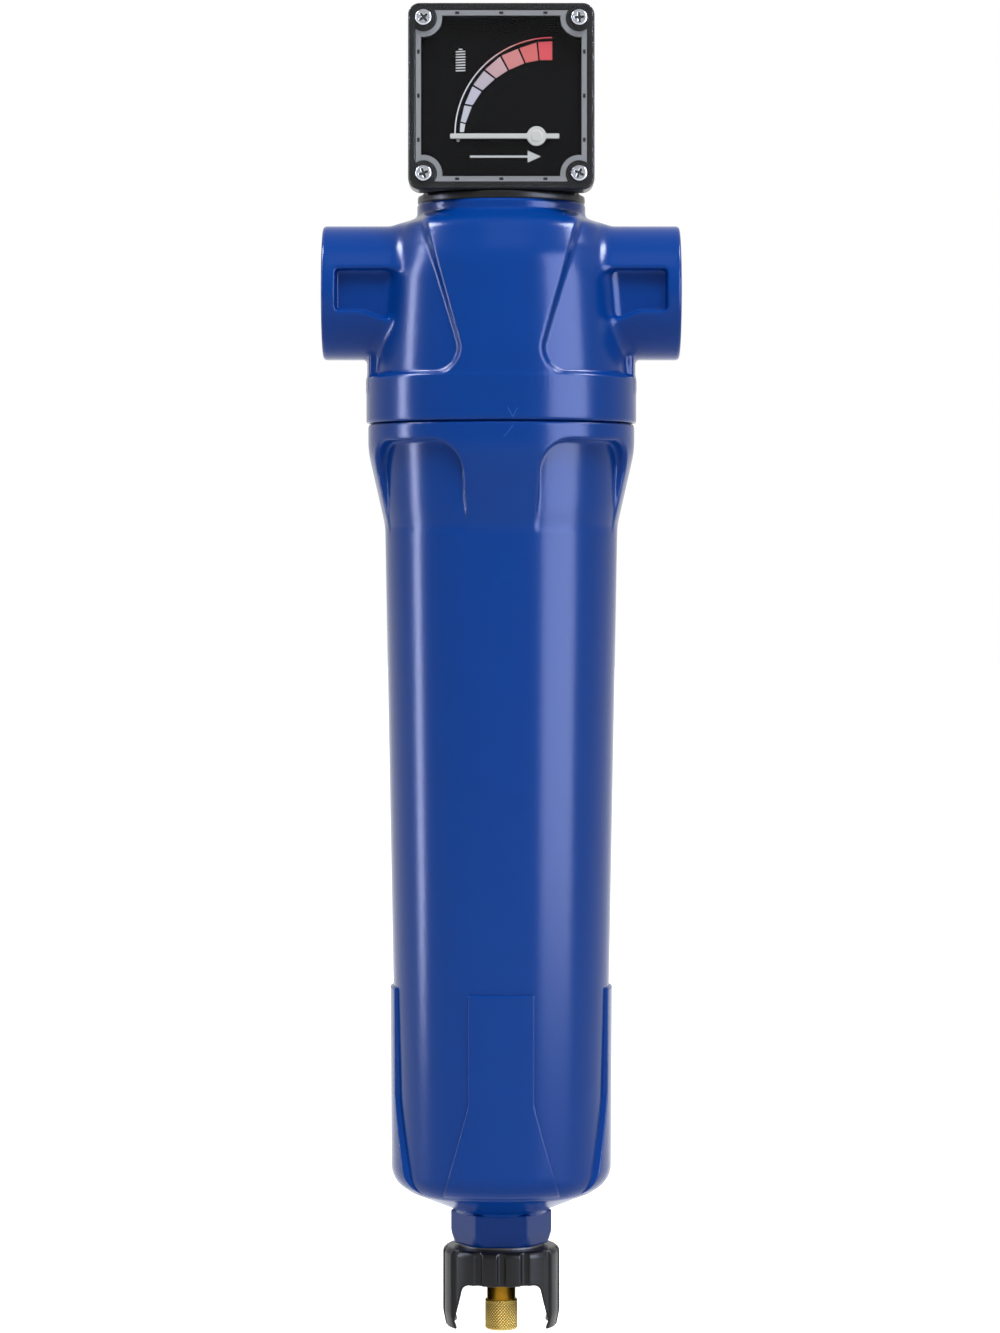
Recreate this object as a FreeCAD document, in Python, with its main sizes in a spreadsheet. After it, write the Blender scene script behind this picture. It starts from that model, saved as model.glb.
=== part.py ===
# Coalescing compressed air filter with a pressure-drop gauge and a float drain.
# Frame: origin at the centre of the inlet port's face, +X along the flow, +Z up, -Y to the front.
# Every sub-part is modelled about the filter's own axis and moved half the port span along +X.

import FreeCAD, Part
import math
import os
import re
import Sketcher
from FreeCAD import Placement, Rotation, Vector

doc = FreeCAD.newDocument("coalescing_filter")

# Driving dimensions in millimetres. Levels are measured up from the port axis.

DRIVING = [
    ("port_span", 140.0, "port face to port face"),
    ("boss_radius", 26.3, "outside of a port boss"),
    ("port_radius", 15.15, "wall of the threaded port, one inch pipe thread"),
    ("port_thread_length", 20.0, "threaded length of a port"),
    ("passage_radius", 14.0, "air passage behind a port"),
    ("pocket_half_height", 8.0, "casting pocket in a port boss"),
    ("pocket_wall", 4.35, "port thread to the pocket floor"),
    ("pocket_land", 5.7, "port face to the pocket"),
    ("head_top", 34.5, "flat top of the head"),
    ("neck_radius", 33.0, "round top of the head"),
    ("neck_height", 4.9, "upright part of the round top"),
    ("neck_round", 2.5, "hollow under the round top"),
    ("shoulder_drop", 3.8, "foot of the round top to the shoulder"),
    ("shoulder_round", 5.0, "rounding of the shoulder"),
    ("brow_drop", 10.3, "shoulder to the brow"),
    ("brow_draft", 4.0, "side surface draws in from brow to shoulder"),
    ("flank_draft", 5.4, "side surface draws in from ring to brow"),
    ("panel_step", 2.6, "front panel proud of the side surface"),
    ("panel_round", 9.0, "rounding of the panel at the shoulder"),
    ("panel_half_foot", 12.9, "panel half width at the ring"),
    ("panel_top_inset", 0.7, "panel edge inside the round top"),
    ("panel_corner", 9.5, "corner where the panel runs into the ring"),
    ("rib_half_width", 12.0, "side rib below a port"),
    ("ring_radius", 53.1, "ring round the bowl socket"),
    ("ring_step", 2.5, "ring proud of the side surface"),
    ("ring_height", 18.2, "height of the ring"),
    ("ring_wall", 6.3, "ring outside to the socket wall"),
    ("seam_level", -51.4, "lower face of the ring"),
    ("seam_gap", 0.3, "bowl shoulder to ring face"),
    ("seam_step", 0.8, "ring proud of the bowl"),
    ("edge_break", 0.8, "small edge rounding on the castings"),
    ("socket_depth", 16.0, "bowl thread inside the ring"),
    ("thread_clearance", 0.3, "bowl neck in the ring, radial"),
    ("neck_room", 1.3, "bowl neck to the roof of its socket"),
    ("gallery_wall", 5.3, "socket wall to the outlet gallery"),
    ("gallery_height", 27.4, "ring face to the roof of the gallery"),
    ("element_socket_radius", 16.0, "bore for the element neck"),
    ("spigot_wall", 5.5, "tube in the head that takes the element neck"),
    ("spigot_setback", 5.4, "ring face to the lower end of that tube"),
    ("chamber_rise", 3.0, "roof of the inlet chamber above its passage"),
    ("passage_wall", 6.0, "wall between inlet chamber and outlet passage"),
    ("bowl_length", 308.5, "bowl shoulder to the hexagon"),
    ("grip_knee_drop", 10.3, "bowl shoulder to where it starts to narrow"),
    ("grip_length", 29.4, "narrowing part of the bowl"),
    ("grip_draw", 6.65, "bowl draws in over that part"),
    ("grip_top_round", 36.0, "curve at the start of that part"),
    ("grip_low_round", 28.0, "curve at the end of that part"),
    ("barrel_taper", 4.65, "bowl barrel draws in down to the dome"),
    ("dome_slope", 0.404, "fall of the dome per mm of radius"),
    ("dome_corner", 9.0, "rounding from barrel to dome"),
    ("bowl_wall", 4.0, "wall of the bowl"),
    ("recess_drop", 7.1, "bowl shoulder to a grip recess"),
    ("recess_depth", 5.2, "depth of a grip recess at its top"),
    ("recess_half_width", 20.0, "half width of a grip recess"),
    ("recess_corner", 5.5, "corner of a grip recess"),
    ("pad_length", 88.2, "upper ledge of a foot pad above the hexagon"),
    ("pad_height", 2.6, "foot pad proud of the barrel"),
    ("pad_half_width", 12.8, "foot pad half width at the top"),
    ("pad_flare_height", 45.2, "foot pad starts to widen above the hexagon"),
    ("pad_half_foot", 22.6, "foot pad half width at the dome"),
    ("boss_neck_radius", 18.3, "round neck above the hexagon"),
    ("boss_neck_height", 0.5, "height of that neck"),
    ("hex_height", 12.8, "height of the hexagon"),
    ("hex_flats", 34.5, "hexagon across flats"),
    ("hex_chamfer", 5.0, "height of the hexagon's turned lower corners"),
    ("hex_chamfer_depth", 1.7, "depth of those corners"),
    ("floor_thickness", 6.2, "inner floor of the bowl above the hexagon"),
    ("fin_gap", 0.3, "fins to the element that they carry"),
    ("fin_thickness", 3.0, "fin in the bowl"),
    ("fin_inner_radius", 24.0, "inner edge of a fin"),
    ("element_drop", 0.6, "ring face to the element's top cap"),
    ("element_side_gap", 2.6, "element cap to the bowl above the dome"),
    ("cap_thickness", 5.0, "element end cap"),
    ("cap_rim", 1.4, "rim of an end cap outside the sleeve"),
    ("cap_rim_height", 6.0, "height of that rim"),
    ("element_neck_length", 23.0, "element neck above the cap"),
    ("element_neck_clearance", 0.08, "element neck in its socket"),
    ("element_neck_wall", 3.42, "wall of the element neck"),
    ("neck_groove_depth", 1.8, "groove of a neck seal"),
    ("neck_groove_height", 2.6, "groove of a neck seal"),
    ("neck_groove_land", 3.4, "land between the grooves"),
    ("core_wall", 1.0, "wall of both cores"),
    ("media_thickness", 10.5, "filter media"),
    ("sleeve_thickness", 4.5, "foam drain sleeve"),
    ("slot_height", 26.0, "slot in a core"),
    ("slot_width", 6.0, "slot in a core"),
    ("slot_land", 8.0, "land between slots"),
    ("shank_radius", 10.0, "drain shank"),
    ("shank_clearance", 0.3, "drain shank in the bowl"),
    ("shank_reach", 13.5, "drain shank below the hexagon"),
    ("flange_margin", 0.4, "drain flange outside the cage"),
    ("drain_flange_thickness", 4.0, "drain flange"),
    ("flange_seal_cord", 0.8, "radius of the drain flange's seal cord"),
    ("drain_bore", 1.5, "radius of the drain bore"),
    ("guide_radius", 4.6, "guide tube of the float"),
    ("guide_room", 1.0, "guide tube above the raised float"),
    ("float_radius", 15.0, "float"),
    ("float_height", 20.0, "float"),
    ("float_clearance", 0.4, "float on its guide"),
    ("float_wall", 2.2, "wall of the hollow float"),
    ("float_sleeve", 1.2, "its inner wall round the guide"),
    ("float_corner", 2.0, "rounding of the float"),
    ("float_rest_gap", 2.0, "float above the flange at rest"),
    ("float_rise", 6.0, "travel of the float"),
    ("cage_gap", 1.2, "float to the cage"),
    ("cage_wall", 1.4, "wall of the cage"),
    ("bracket_radius", 9.0, "lever bracket plate"),
    ("bracket_thickness", 2.0, "lever bracket plate"),
    ("ear_thickness", 1.3, "ear of the lever bracket"),
    ("ear_half_width", 1.9, "ear of the lever bracket"),
    ("lever_pin_offset", 7.0, "lever pin behind the drain axis"),
    ("lever_pin_radius", 1.0, "lever pin"),
    ("lever_width", 4.4, "lever"),
    ("lever_thickness", 2.4, "lever"),
    ("lever_tip", 0.5, "lever beyond the float post"),
    ("lever_side_gap", 0.3, "lever to a bracket ear"),
    ("lever_room", 10.4, "lever to the element above it"),
    ("post_gap", 0.5, "float post to the bracket plate"),
    ("post_radius", 1.5, "float post"),
    ("nozzle_height", 2.0, "nozzle above the bracket plate"),
    ("nozzle_stem", 1.6, "radius of the nozzle's stem"),
    ("nozzle_bore", 0.6, "radius of the nozzle's bore"),
    ("pad_thickness", 1.2, "rubber valve pad"),
    ("valve_pad_radius", 1.8, "rubber valve pad"),
    ("touch_gap", 0.1, "gap between parts that touch in use"),
    ("washer_thickness", 1.0, "collar washer"),
    ("washer_margin", 0.5, "washer inside the hexagon's flats"),
    ("collar_radius", 22.9, "drain collar"),
    ("collar_height", 33.0, "drain collar with its claws"),
    ("collar_ring_height", 13.3, "drain collar without its claws"),
    ("collar_chamfer", 2.2, "upper shoulder of the collar"),
    ("collar_web", 8.0, "threaded part of the collar"),
    ("collar_wall", 3.3, "skirt of the collar"),
    ("claw_slant", 6.0, "height of the claws' drawn-in tips"),
    ("window_half_top", 14.8, "claw window half width at its top"),
    ("window_half_foot", 18.2, "claw window half width near the tips"),
    ("window_corner", 3.0, "upper corner of a claw window"),
    ("flute_radius", 1.1, "groove in the collar"),
    ("knob_neck_radius", 5.65, "smooth neck of the drain knob"),
    ("knob_radius", 6.35, "knurled end of the drain knob"),
    ("knob_proud", 0.1, "drain knob below the claws"),
    ("knurl_length", 12.0, "knurled part of the drain knob"),
    ("knob_stem_radius", 4.5, "screwed stem of the drain knob"),
    ("knob_stem_length", 14.5, "stem inside the drain shank"),
    ("running_gap", 0.08, "radial clearance of turning parts"),
    ("gauge_size", 72.0, "side of the square dial case"),
    ("gauge_corner", 4.5, "corner of the dial case"),
    ("gauge_front", 35.0, "front of the cover before the filter axis"),
    ("cover_thickness", 2.5, "clear cover"),
    ("cover_setback", 0.4, "cover inside the case edge"),
    ("housing_depth", 18.5, "dial case behind the cover"),
    ("housing_floor", 3.0, "back wall of the dial case"),
    ("frame_width", 5.0, "case edge to the window"),
    ("screw_inset", 6.0, "case edge to a cover screw"),
    ("notch_radius", 7.2, "notch of the window round a cover screw"),
    ("seal_width", 2.0, "cover seal"),
    ("seal_depth", 1.5, "cover seal"),
    ("pane_depth", 1.0, "raised pane behind the cover"),
    ("pane_gap", 0.3, "pane to the window edge"),
    ("dial_depth", 8.0, "front of the cover to the dial"),
    ("dial_thickness", 0.8, "dial plate"),
    ("dial_gap", 0.2, "dial plate to the case"),
    ("ledge_width", 3.0, "ledge that carries the dial"),
    ("pointer_x", 13.6, "pointer axis right of the filter axis"),
    ("pointer_drop", 15.2, "pointer axis below the middle of the case"),
    ("pointer_reach", 33.4, "pointer axis to the tip"),
    ("pointer_tail", 8.8, "pointer axis to the tail"),
    ("pointer_width", 2.0, "pointer"),
    ("pointer_hub_radius", 3.8, "pointer hub"),
    ("pointer_thickness", 1.2, "pointer"),
    ("pointer_lift", 1.0, "pointer in front of the dial"),
    ("pointer_shaft_radius", 0.8, "pointer shaft"),
    ("bush_wall", 0.8, "pointer bearing in the dial"),
    ("bush_flange", 1.0, "flange of the pointer bearing"),
    ("magnet_radius", 4.0, "pointer magnet"),
    ("magnet_thickness", 3.0, "pointer magnet"),
    ("foot_margin", 0.15, "gauge foot inside the head's round top"),
    ("foot_thickness", 3.5, "round foot of the gauge"),
    ("block_half_width", 30.0, "cylinder block of the gauge"),
    ("block_depth", 24.0, "cylinder block of the gauge"),
    ("block_height", 52.0, "cylinder block above the foot"),
    ("bore_radius", 5.5, "sensing cylinder"),
    ("bore_floor", 6.0, "foot to the sensing cylinder"),
    ("piston_length", 12.0, "sensing piston"),
    ("piston_groove_depth", 1.6, "groove of the piston seal"),
    ("rod_magnet_radius", 2.5, "piston magnet"),
    ("rod_magnet_length", 6.0, "piston magnet"),
    ("plug_length", 8.0, "plug in the sensing cylinder"),
    ("plug_rim", 2.5, "head of the plug outside the cylinder"),
    ("plug_head", 2.0, "height of that head"),
    ("spring_wire", 0.9, "wire of the measuring spring"),
    ("spring_turns", 5.0, "turns of the measuring spring"),
    ("sensing_hole_radius", 1.2, "sensing hole"),
    ("low_side_inset", 4.0, "outlet sensing hole from the end of its passage"),
    ("high_side_x", 11.0, "inlet sensing hole"),
    ("port_ring_cord", 0.6, "radius of a sensing hole's seal cord"),
    ("foot_screw_x", 16.0, "gauge foot screw"),
    ("foot_screw_inset", 9.85, "gauge foot screw from the rim"),
    ("foot_screw_radius", 2.5, "gauge foot screw"),
    ("foot_screw_head", 4.2, "gauge foot screw's head, radius"),
    ("foot_screw_head_height", 4.0, "gauge foot screw's head"),
    ("foot_screw_grip", 12.0, "gauge foot screw in the head"),
    ("tie_radius", 1.6, "screw that holds the case to the block"),
    ("tie_length", 8.0, "screw that holds the case to the block"),
    ("tie_inset", 12.0, "those screws from the cover screws and the foot"),
    ("tie_drop", 8.0, "upper one below the top of the block"),
    ("cover_screw_radius", 1.5, "cover screw"),
    ("cover_screw_length", 10.0, "cover screw"),
    ("cover_screw_head", 3.1, "cover screw head, radius"),
    ("cover_screw_head_height", 2.0, "cover screw head"),
    ("cover_screw_sink", 0.8, "cover screw head below the cover's face"),
]

# Levels and radii that follow from the driving dimensions.

DERIVED = [
    ("half_span", "port_span / 2"),
    ("pocket_floor", "port_radius + pocket_wall"),
    ("neck_foot", "head_top - neck_height"),
    ("shoulder_level", "neck_foot - shoulder_drop"),
    ("brow_level", "shoulder_level - brow_drop"),
    ("flank_radius", "ring_radius - ring_step"),
    ("brow_radius", "flank_radius - flank_draft"),
    ("shoulder_radius", "brow_radius - brow_draft"),
    ("ring_top", "seam_level + ring_height"),
    ("chamber_top", "passage_radius + chamber_rise"),
    ("spigot_radius", "element_socket_radius + spigot_wall"),
    ("spigot_foot", "seam_level + spigot_setback"),
    ("outlet_start", "element_socket_radius + passage_wall"),
    ("socket_radius", "ring_radius - ring_wall"),
    ("socket_top", "seam_level + socket_depth"),
    ("gallery_radius", "socket_radius - gallery_wall"),
    ("gallery_top", "seam_level + gallery_height"),
    ("bowl_shoulder", "seam_level - seam_gap"),
    ("rim_radius", "ring_radius - seam_step"),
    ("bowl_neck_radius", "socket_radius - thread_clearance"),
    ("bowl_neck_top", "socket_top - neck_room"),
    ("groove_top", "bowl_neck_top - 2"),
    ("groove_foot", "bowl_neck_top - 5"),
    ("groove_radius", "bowl_neck_radius - 2.2"),
    ("grip_top_knee", "bowl_shoulder - grip_knee_drop"),
    ("grip_low_knee", "grip_top_knee - grip_length"),
    ("barrel_top_radius", "rim_radius - grip_draw"),
    ("barrel_low_radius", "barrel_top_radius - barrel_taper"),
    ("bowl_inner", "barrel_top_radius - bowl_wall"),
    ("bowl_inner_low", "barrel_low_radius - bowl_wall"),
    ("hex_top", "bowl_shoulder - bowl_length"),
    ("hex_foot", "hex_top - hex_height"),
    ("hex_corner", "hex_flats / 1.7320508"),
    ("dome_start", "hex_top + boss_neck_height + (barrel_low_radius - boss_neck_radius) * dome_slope"),
    ("recess_top", "bowl_shoulder - recess_drop"),
    ("recess_radius", "rim_radius - recess_depth"),
    ("pad_top", "hex_top + pad_length"),
    ("pad_radius", "barrel_low_radius + pad_height"),
    ("pad_flare_level", "hex_top + pad_flare_height"),
    ("pad_corner_radius", "pad_radius - 0.4"),
    ("pad_corner_level", "dome_start + (pad_corner_radius - barrel_low_radius) * dome_slope"),
    ("cage_radius", "float_radius + cage_gap + cage_wall"),
    ("drain_flange_radius", "cage_radius + flange_margin"),
    ("floor_level", "hex_top + floor_thickness"),
    ("floor_flat_radius", "drain_flange_radius + 0.6"),
    ("floor_edge", "floor_level + (bowl_inner_low - floor_flat_radius) * dome_slope"),
    ("shank_hole", "shank_radius + shank_clearance"),
    ("flange_seal_radius", "shank_radius + 2"),
    ("shank_foot", "hex_foot - shank_reach"),
    ("flange_top", "floor_level + drain_flange_thickness"),
    ("float_foot", "flange_top + float_rest_gap"),
    ("float_top", "float_foot + float_height"),
    ("guide_top", "float_top + float_rise + guide_room"),
    ("bracket_top", "guide_top + bracket_thickness"),
    ("nozzle_top", "bracket_top + nozzle_height"),
    ("lever_foot", "nozzle_top + pad_thickness"),
    ("lever_middle", "lever_foot + lever_thickness / 2"),
    ("pin_half_length", "lever_width / 2 + lever_side_gap + ear_thickness + 0.4"),
    ("post_offset", "bracket_radius + post_radius + post_gap"),
    ("lever_length", "lever_pin_offset + post_offset + post_radius + lever_tip"),
    ("cap_radius", "bowl_inner_low - element_side_gap"),
    ("element_radius", "cap_radius - cap_rim"),
    ("element_top", "seam_level - element_drop"),
    ("element_bottom", "lever_foot + lever_thickness + lever_room"),
    ("fin_top", "element_bottom - fin_gap"),
    ("element_neck_radius", "element_socket_radius - element_neck_clearance"),
    ("element_neck_bore", "element_neck_radius - element_neck_wall"),
    ("element_neck_top", "element_top + element_neck_length"),
    ("stack_top", "element_top - cap_thickness"),
    ("stack_foot", "element_bottom + cap_thickness"),
    ("outer_core_radius", "element_radius - sleeve_thickness"),
    ("media_radius", "outer_core_radius - core_wall"),
    ("core_radius", "media_radius - media_thickness"),
    ("collar_top", "hex_foot - washer_thickness"),
    ("collar_foot", "collar_top - collar_ring_height"),
    ("claw_foot", "collar_top - collar_height"),
    ("web_foot", "collar_top - collar_web"),
    ("skirt_radius", "collar_radius - collar_wall"),
    ("knob_foot", "claw_foot - knob_proud"),
    ("knob_knurl_top", "knob_foot + knurl_length"),
    ("knob_stem_top", "shank_foot + knob_stem_length"),
    ("foot_radius", "neck_radius - foot_margin"),
    ("foot_top", "head_top + foot_thickness"),
    ("foot_screw_y", "foot_radius - foot_screw_inset"),
    ("gauge_half", "gauge_size / 2"),
    ("gauge_level", "foot_top + touch_gap + gauge_half"),
    ("window_half", "gauge_half - frame_width"),
    ("screw_half", "gauge_half - screw_inset"),
    ("housing_front", "-gauge_front + cover_thickness"),
    ("housing_back", "housing_front + housing_depth"),
    ("dial_front", "-gauge_front + dial_depth"),
    ("dial_back", "dial_front + dial_thickness"),
    ("pointer_level", "gauge_level - pointer_drop"),
    ("pointer_back", "dial_front - pointer_lift"),
    ("pointer_front", "pointer_back - pointer_thickness"),
    ("block_top", "foot_top + block_height"),
    ("bore_foot", "foot_top + bore_floor"),
    ("bore_y", "housing_back + block_depth / 2"),
    ("plug_foot", "block_top - plug_length"),
    ("port_ring_radius", "2 * sensing_hole_radius"),
    ("piston_foot", "bore_foot"),
    ("piston_top", "piston_foot + piston_length"),
    ("low_side_x", "outlet_start + low_side_inset"),
    ("cross_hole", "plug_foot - 3"),
]

WORD = re.compile(r"[a-z_]+[a-z0-9_]*")
OWNER = {}


def full(expression):
    """Put its sheet's name before each alias in an expression."""
    return WORD.sub(lambda word: OWNER.get(word.group(), "") + word.group(), str(expression))


def fill_sheet(name, label, rows, formula):
    """Make a spreadsheet with one alias a row."""
    sheet = doc.addObject("Spreadsheet::Sheet", name)
    sheet.Label = label
    for number, row in enumerate(rows, 1):
        alias = row[0]
        sheet.set("A%d" % number, alias)
        sheet.set("B%d" % number, "=" + full(row[1]) if formula else str(row[1]))
        sheet.setAlias("B%d" % number, alias)
        if len(row) > 2:
            sheet.set("C%d" % number, row[2])
        OWNER[alias] = name + "."
    doc.recompute()
    return sheet


dims = fill_sheet("dims", "driving dimensions", DRIVING, False)
places = fill_sheet("places", "derived places", DERIVED, True)


def size(alias):
    """The number that a sheet holds under an alias."""
    sheet = dims if OWNER[alias] == "dims." else places
    return float(sheet.get(alias))


# Helpers: a bound property, a sketch, a turned solid, a padded outline, primitives and booleans.


def bind(thing, **sizes):
    for name, expression in sizes.items():
        thing.setExpression(name, full(expression))
    return thing


def put(thing, x="0", y="0", z="0", turn=None):
    """Place a thing by expressions, after an optional fixed rotation (axis, degrees)."""
    if turn:
        thing.Placement = Placement(Vector(0, 0, 0), Rotation(Vector(*turn[0]), turn[1]))
    for letter, expression in zip("xyz", (x, y, z)):
        thing.setExpression(".Placement.Base." + letter, full(expression))
    return thing


def outline(body, name, points, plane="XZ_Plane"):
    """A closed polygon on an origin plane, each corner held by two bound dimensions."""
    sketch = body.newObject("Sketcher::SketchObject", name)
    origin_plane = [item for item in body.Origin.OriginFeatures if item.Role == plane][0]
    sketch.AttachmentSupport = [(origin_plane, "")]
    sketch.MapMode = "FlatFace"
    count = len(points)
    rough = [Vector(k + 1, (k + 1) ** 2, 0) for k in range(count)]
    for k in range(count):
        sketch.addGeometry(Part.LineSegment(rough[k], rough[(k + 1) % count]), False)
    for k in range(count):
        sketch.addConstraint(Sketcher.Constraint("Coincident", k, 2, (k + 1) % count, 1))
    for k, corner in enumerate(points):
        for kind, start, expression in zip(("DistanceX", "DistanceY"), (rough[k].x, rough[k].y), corner):
            number = sketch.addConstraint(Sketcher.Constraint(kind, -1, 1, k, 1, start))
            sketch.setExpression("Constraints[%d]" % number, full(expression))
    return sketch


def turned(name, points):
    """A body of revolution about +Z from (radius, level) corners."""
    body = doc.addObject("PartDesign::Body", name)
    sketch = outline(body, name + "_profile", points)
    feature = body.newObject("PartDesign::Revolution", name + "_turning")
    feature.Profile = sketch
    feature.ReferenceAxis = (sketch, ["V_Axis"])
    feature.Angle = 360
    return body


def padded(name, points, length, plane="XZ_Plane", middle=True):
    """An outline padded to both sides of its plane, or to its front."""
    body = doc.addObject("PartDesign::Body", name)
    sketch = outline(body, name + "_outline", points, plane)
    feature = body.newObject("PartDesign::Pad", name + "_pad")
    feature.Profile = sketch
    feature.SideType = "Symmetric" if middle else "One side"
    bind(feature, Length=length)
    return body


def rounded(body, radius, chosen):
    """Round the edges of a body's last feature that a test on the edge picks."""
    doc.recompute()
    base = body.Tip
    names = ["Edge%d" % k for k, edge in enumerate(base.Shape.Edges, 1) if chosen(edge)]
    feature = body.newObject("PartDesign::Fillet", body.Name + "_rounding")
    feature.Base = (base, names)
    bind(feature, Radius=radius)
    body.Tip = feature
    return body


def ring_at(radius, level):
    """Test for the circular edge at a radius and level."""

    def chosen(edge):
        box = edge.BoundBox
        flat = abs(box.ZMin - level) < 0.01 and abs(box.ZMax - level) < 0.01
        return flat and abs(box.XMax - radius) < 0.01

    return chosen


def along_y_at(x, z):
    """Test for a straight edge along Y through (x, z) or (-x, z)."""

    def chosen(edge):
        box = edge.BoundBox
        straight = box.YLength > 1 and box.XLength < 0.01 and box.ZLength < 0.01
        return straight and abs(abs(box.XMin) - x) < 0.01 and abs(box.ZMin - z) < 0.01

    return chosen


def cylinder(name, radius, height, x="0", y="0", z="0", turn=None, angle=360):
    thing = doc.addObject("Part::Cylinder", name)
    bind(thing, Radius=radius, Height=height)
    thing.Angle = angle
    return put(thing, x, y, z, turn)


def box(name, length, width, height, x="0", y="0", z="0"):
    thing = doc.addObject("Part::Box", name)
    bind(thing, Length=length, Width=width, Height=height)
    return put(thing, x, y, z)


def fused(name, *things):
    thing = doc.addObject("Part::MultiFuse", name)
    thing.Shapes = list(things)
    return thing


def common(name, *things):
    thing = doc.addObject("Part::MultiCommon", name)
    thing.Shapes = list(things)
    return thing


def cut(name, base, tool):
    thing = doc.addObject("Part::Cut", name)
    thing.Base = base
    thing.Tool = tool
    return thing


def grouped(name, *things):
    thing = doc.addObject("Part::Compound", name)
    thing.Links = list(things)
    return thing


SUB_PARTS = []
FACING_X = ((0, 1, 0), 90)
FACING_FRONT = ((1, 0, 0), 90)


def sub_part(thing, label, x="half_span", y="0", z="0", turn=None):
    """Give a finished piece its own label and place, and list it for writing."""
    put(thing, x, y, z, turn)
    thing.Label = label
    SUB_PARTS.append(thing)
    return thing


# Filter head


def head_casting():
    side = turned("head_side", [
        ("0", "head_top"), ("neck_radius", "head_top"), ("neck_radius", "neck_foot"),
        ("shoulder_radius", "shoulder_level"), ("brow_radius", "brow_level"), ("flank_radius", "ring_top"),
        ("ring_radius", "ring_top"), ("ring_radius", "seam_level"), ("0", "seam_level")])
    rounded(side, "shoulder_round", ring_at(size("shoulder_radius"), size("shoulder_level")))
    rounded(side, "neck_round", ring_at(size("neck_radius"), size("neck_foot")))
    rounded(side, "edge_break", lambda edge: ring_at(size("ring_radius"), size("ring_top"))(edge)
            or ring_at(size("ring_radius"), size("seam_level"))(edge))
    panel_form = turned("panel_form", [
        ("0", "head_top"), ("neck_radius", "head_top"), ("neck_radius", "neck_foot"),
        ("shoulder_radius + panel_step", "shoulder_level - edge_break"),
        ("brow_radius + panel_step", "brow_level"), ("ring_radius", "ring_top + 8"),
        ("ring_radius", "ring_top - 4"), ("0", "ring_top - 4")])
    rounded(panel_form, "panel_round", ring_at(size("shoulder_radius") + size("panel_step"),
                                               size("shoulder_level") - size("edge_break")))
    half = [("neck_radius - panel_top_inset", "head_top + 1"), ("panel_half_foot", "ring_top"),
            ("ring_radius + 5", "ring_top"), ("ring_radius + 5", "ring_top - 3")]
    other = [("-(%s)" % x, level) for x, level in reversed(half)]
    window = padded("panel_window", half + other, "2 * ring_radius + 10")
    rounded(window, "panel_corner", along_y_at(size("panel_half_foot"), size("ring_top")))
    panels = common("head_panels", panel_form, window)
    bosses = cylinder("port_bosses", "boss_radius", "port_span", x="-half_span", turn=FACING_X)
    rib_round = cylinder("rib_round", "ring_radius", "-ring_top", z="ring_top - 1")
    rib_bar = box("rib_bar", "2 * ring_radius", "2 * rib_half_width", "-ring_top",
                  x="-ring_radius", y="-rib_half_width", z="ring_top - 1")
    ribs = common("side_ribs", rib_round, rib_bar)
    pocket = [("half_span - pocket_land", "pocket_half_height"),
              ("half_span - pocket_land", "-pocket_half_height"),
              ("half_span - 3 * pocket_land", "-pocket_half_height"),
              ("brow_radius - 9", "-pocket_half_height - 5"), ("brow_radius - 9", "pocket_half_height")]
    pockets = [padded("pocket_right", pocket, "3 * boss_radius"),
               padded("pocket_left", [("-(%s)" % x, level) for x, level in pocket], "3 * boss_radius")]
    slab = box("pocket_slab", "port_span", "2 * pocket_floor", "4 * pocket_half_height",
               x="-half_span", y="-pocket_floor", z="-2 * pocket_half_height")
    pocket_tool = cut("pocket_tool", cut("pocket_ends", fused("pocket_pair", *pockets), slab), side)
    body = fused("head_outside", side, panels, bosses, ribs)
    return cut("head_pocketed", body, pocket_tool)


def head_passages():
    tools = [
        cylinder("inlet_thread", "port_radius", "port_thread_length", x="-half_span", turn=FACING_X),
        cylinder("outlet_thread", "port_radius", "port_thread_length",
                 x="half_span - port_thread_length", turn=FACING_X),
        cylinder("inlet_passage", "passage_radius", "half_span", x="-half_span", turn=FACING_X),
        cylinder("inlet_chamber", "element_socket_radius", "chamber_top - spigot_foot", z="spigot_foot"),
        cylinder("outlet_passage", "passage_radius", "half_span - outlet_start", x="outlet_start",
                 turn=FACING_X),
        cylinder("bowl_socket", "socket_radius", "socket_depth + 1", z="seam_level - 1"),
        cut("gallery",
            cylinder("gallery_round", "gallery_radius", "gallery_top - seam_level", z="seam_level"),
            cylinder("spigot", "spigot_radius", "chamber_top - spigot_foot", z="spigot_foot")),
        cylinder("low_sensing_hole", "sensing_hole_radius", "head_top + 5", x="low_side_x", z="-4"),
        cylinder("high_sensing_hole", "sensing_hole_radius", "head_top - 5", x="high_side_x", z="6"),
    ]
    riser = cylinder("riser_round", "gallery_radius", "-gallery_top + 1", z="gallery_top - 1",
                     turn=((0, 0, 1), -40), angle=80)
    core = cylinder("riser_core", "outlet_start + 2", "-gallery_top + 3", z="gallery_top - 2")
    tools.append(cut("riser", riser, core))
    for k, sign in enumerate(("", "-")):
        tools.append(cylinder("foot_screw_hole_%d" % k, "foot_screw_radius", "foot_screw_grip + 2",
                              x=sign + "foot_screw_x", y="foot_screw_y", z="head_top - foot_screw_grip - 1"))
    return fused("head_openings", *tools)


sub_part(cut("head", head_casting(), head_passages()), "filter_head")

# Bowl


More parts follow.
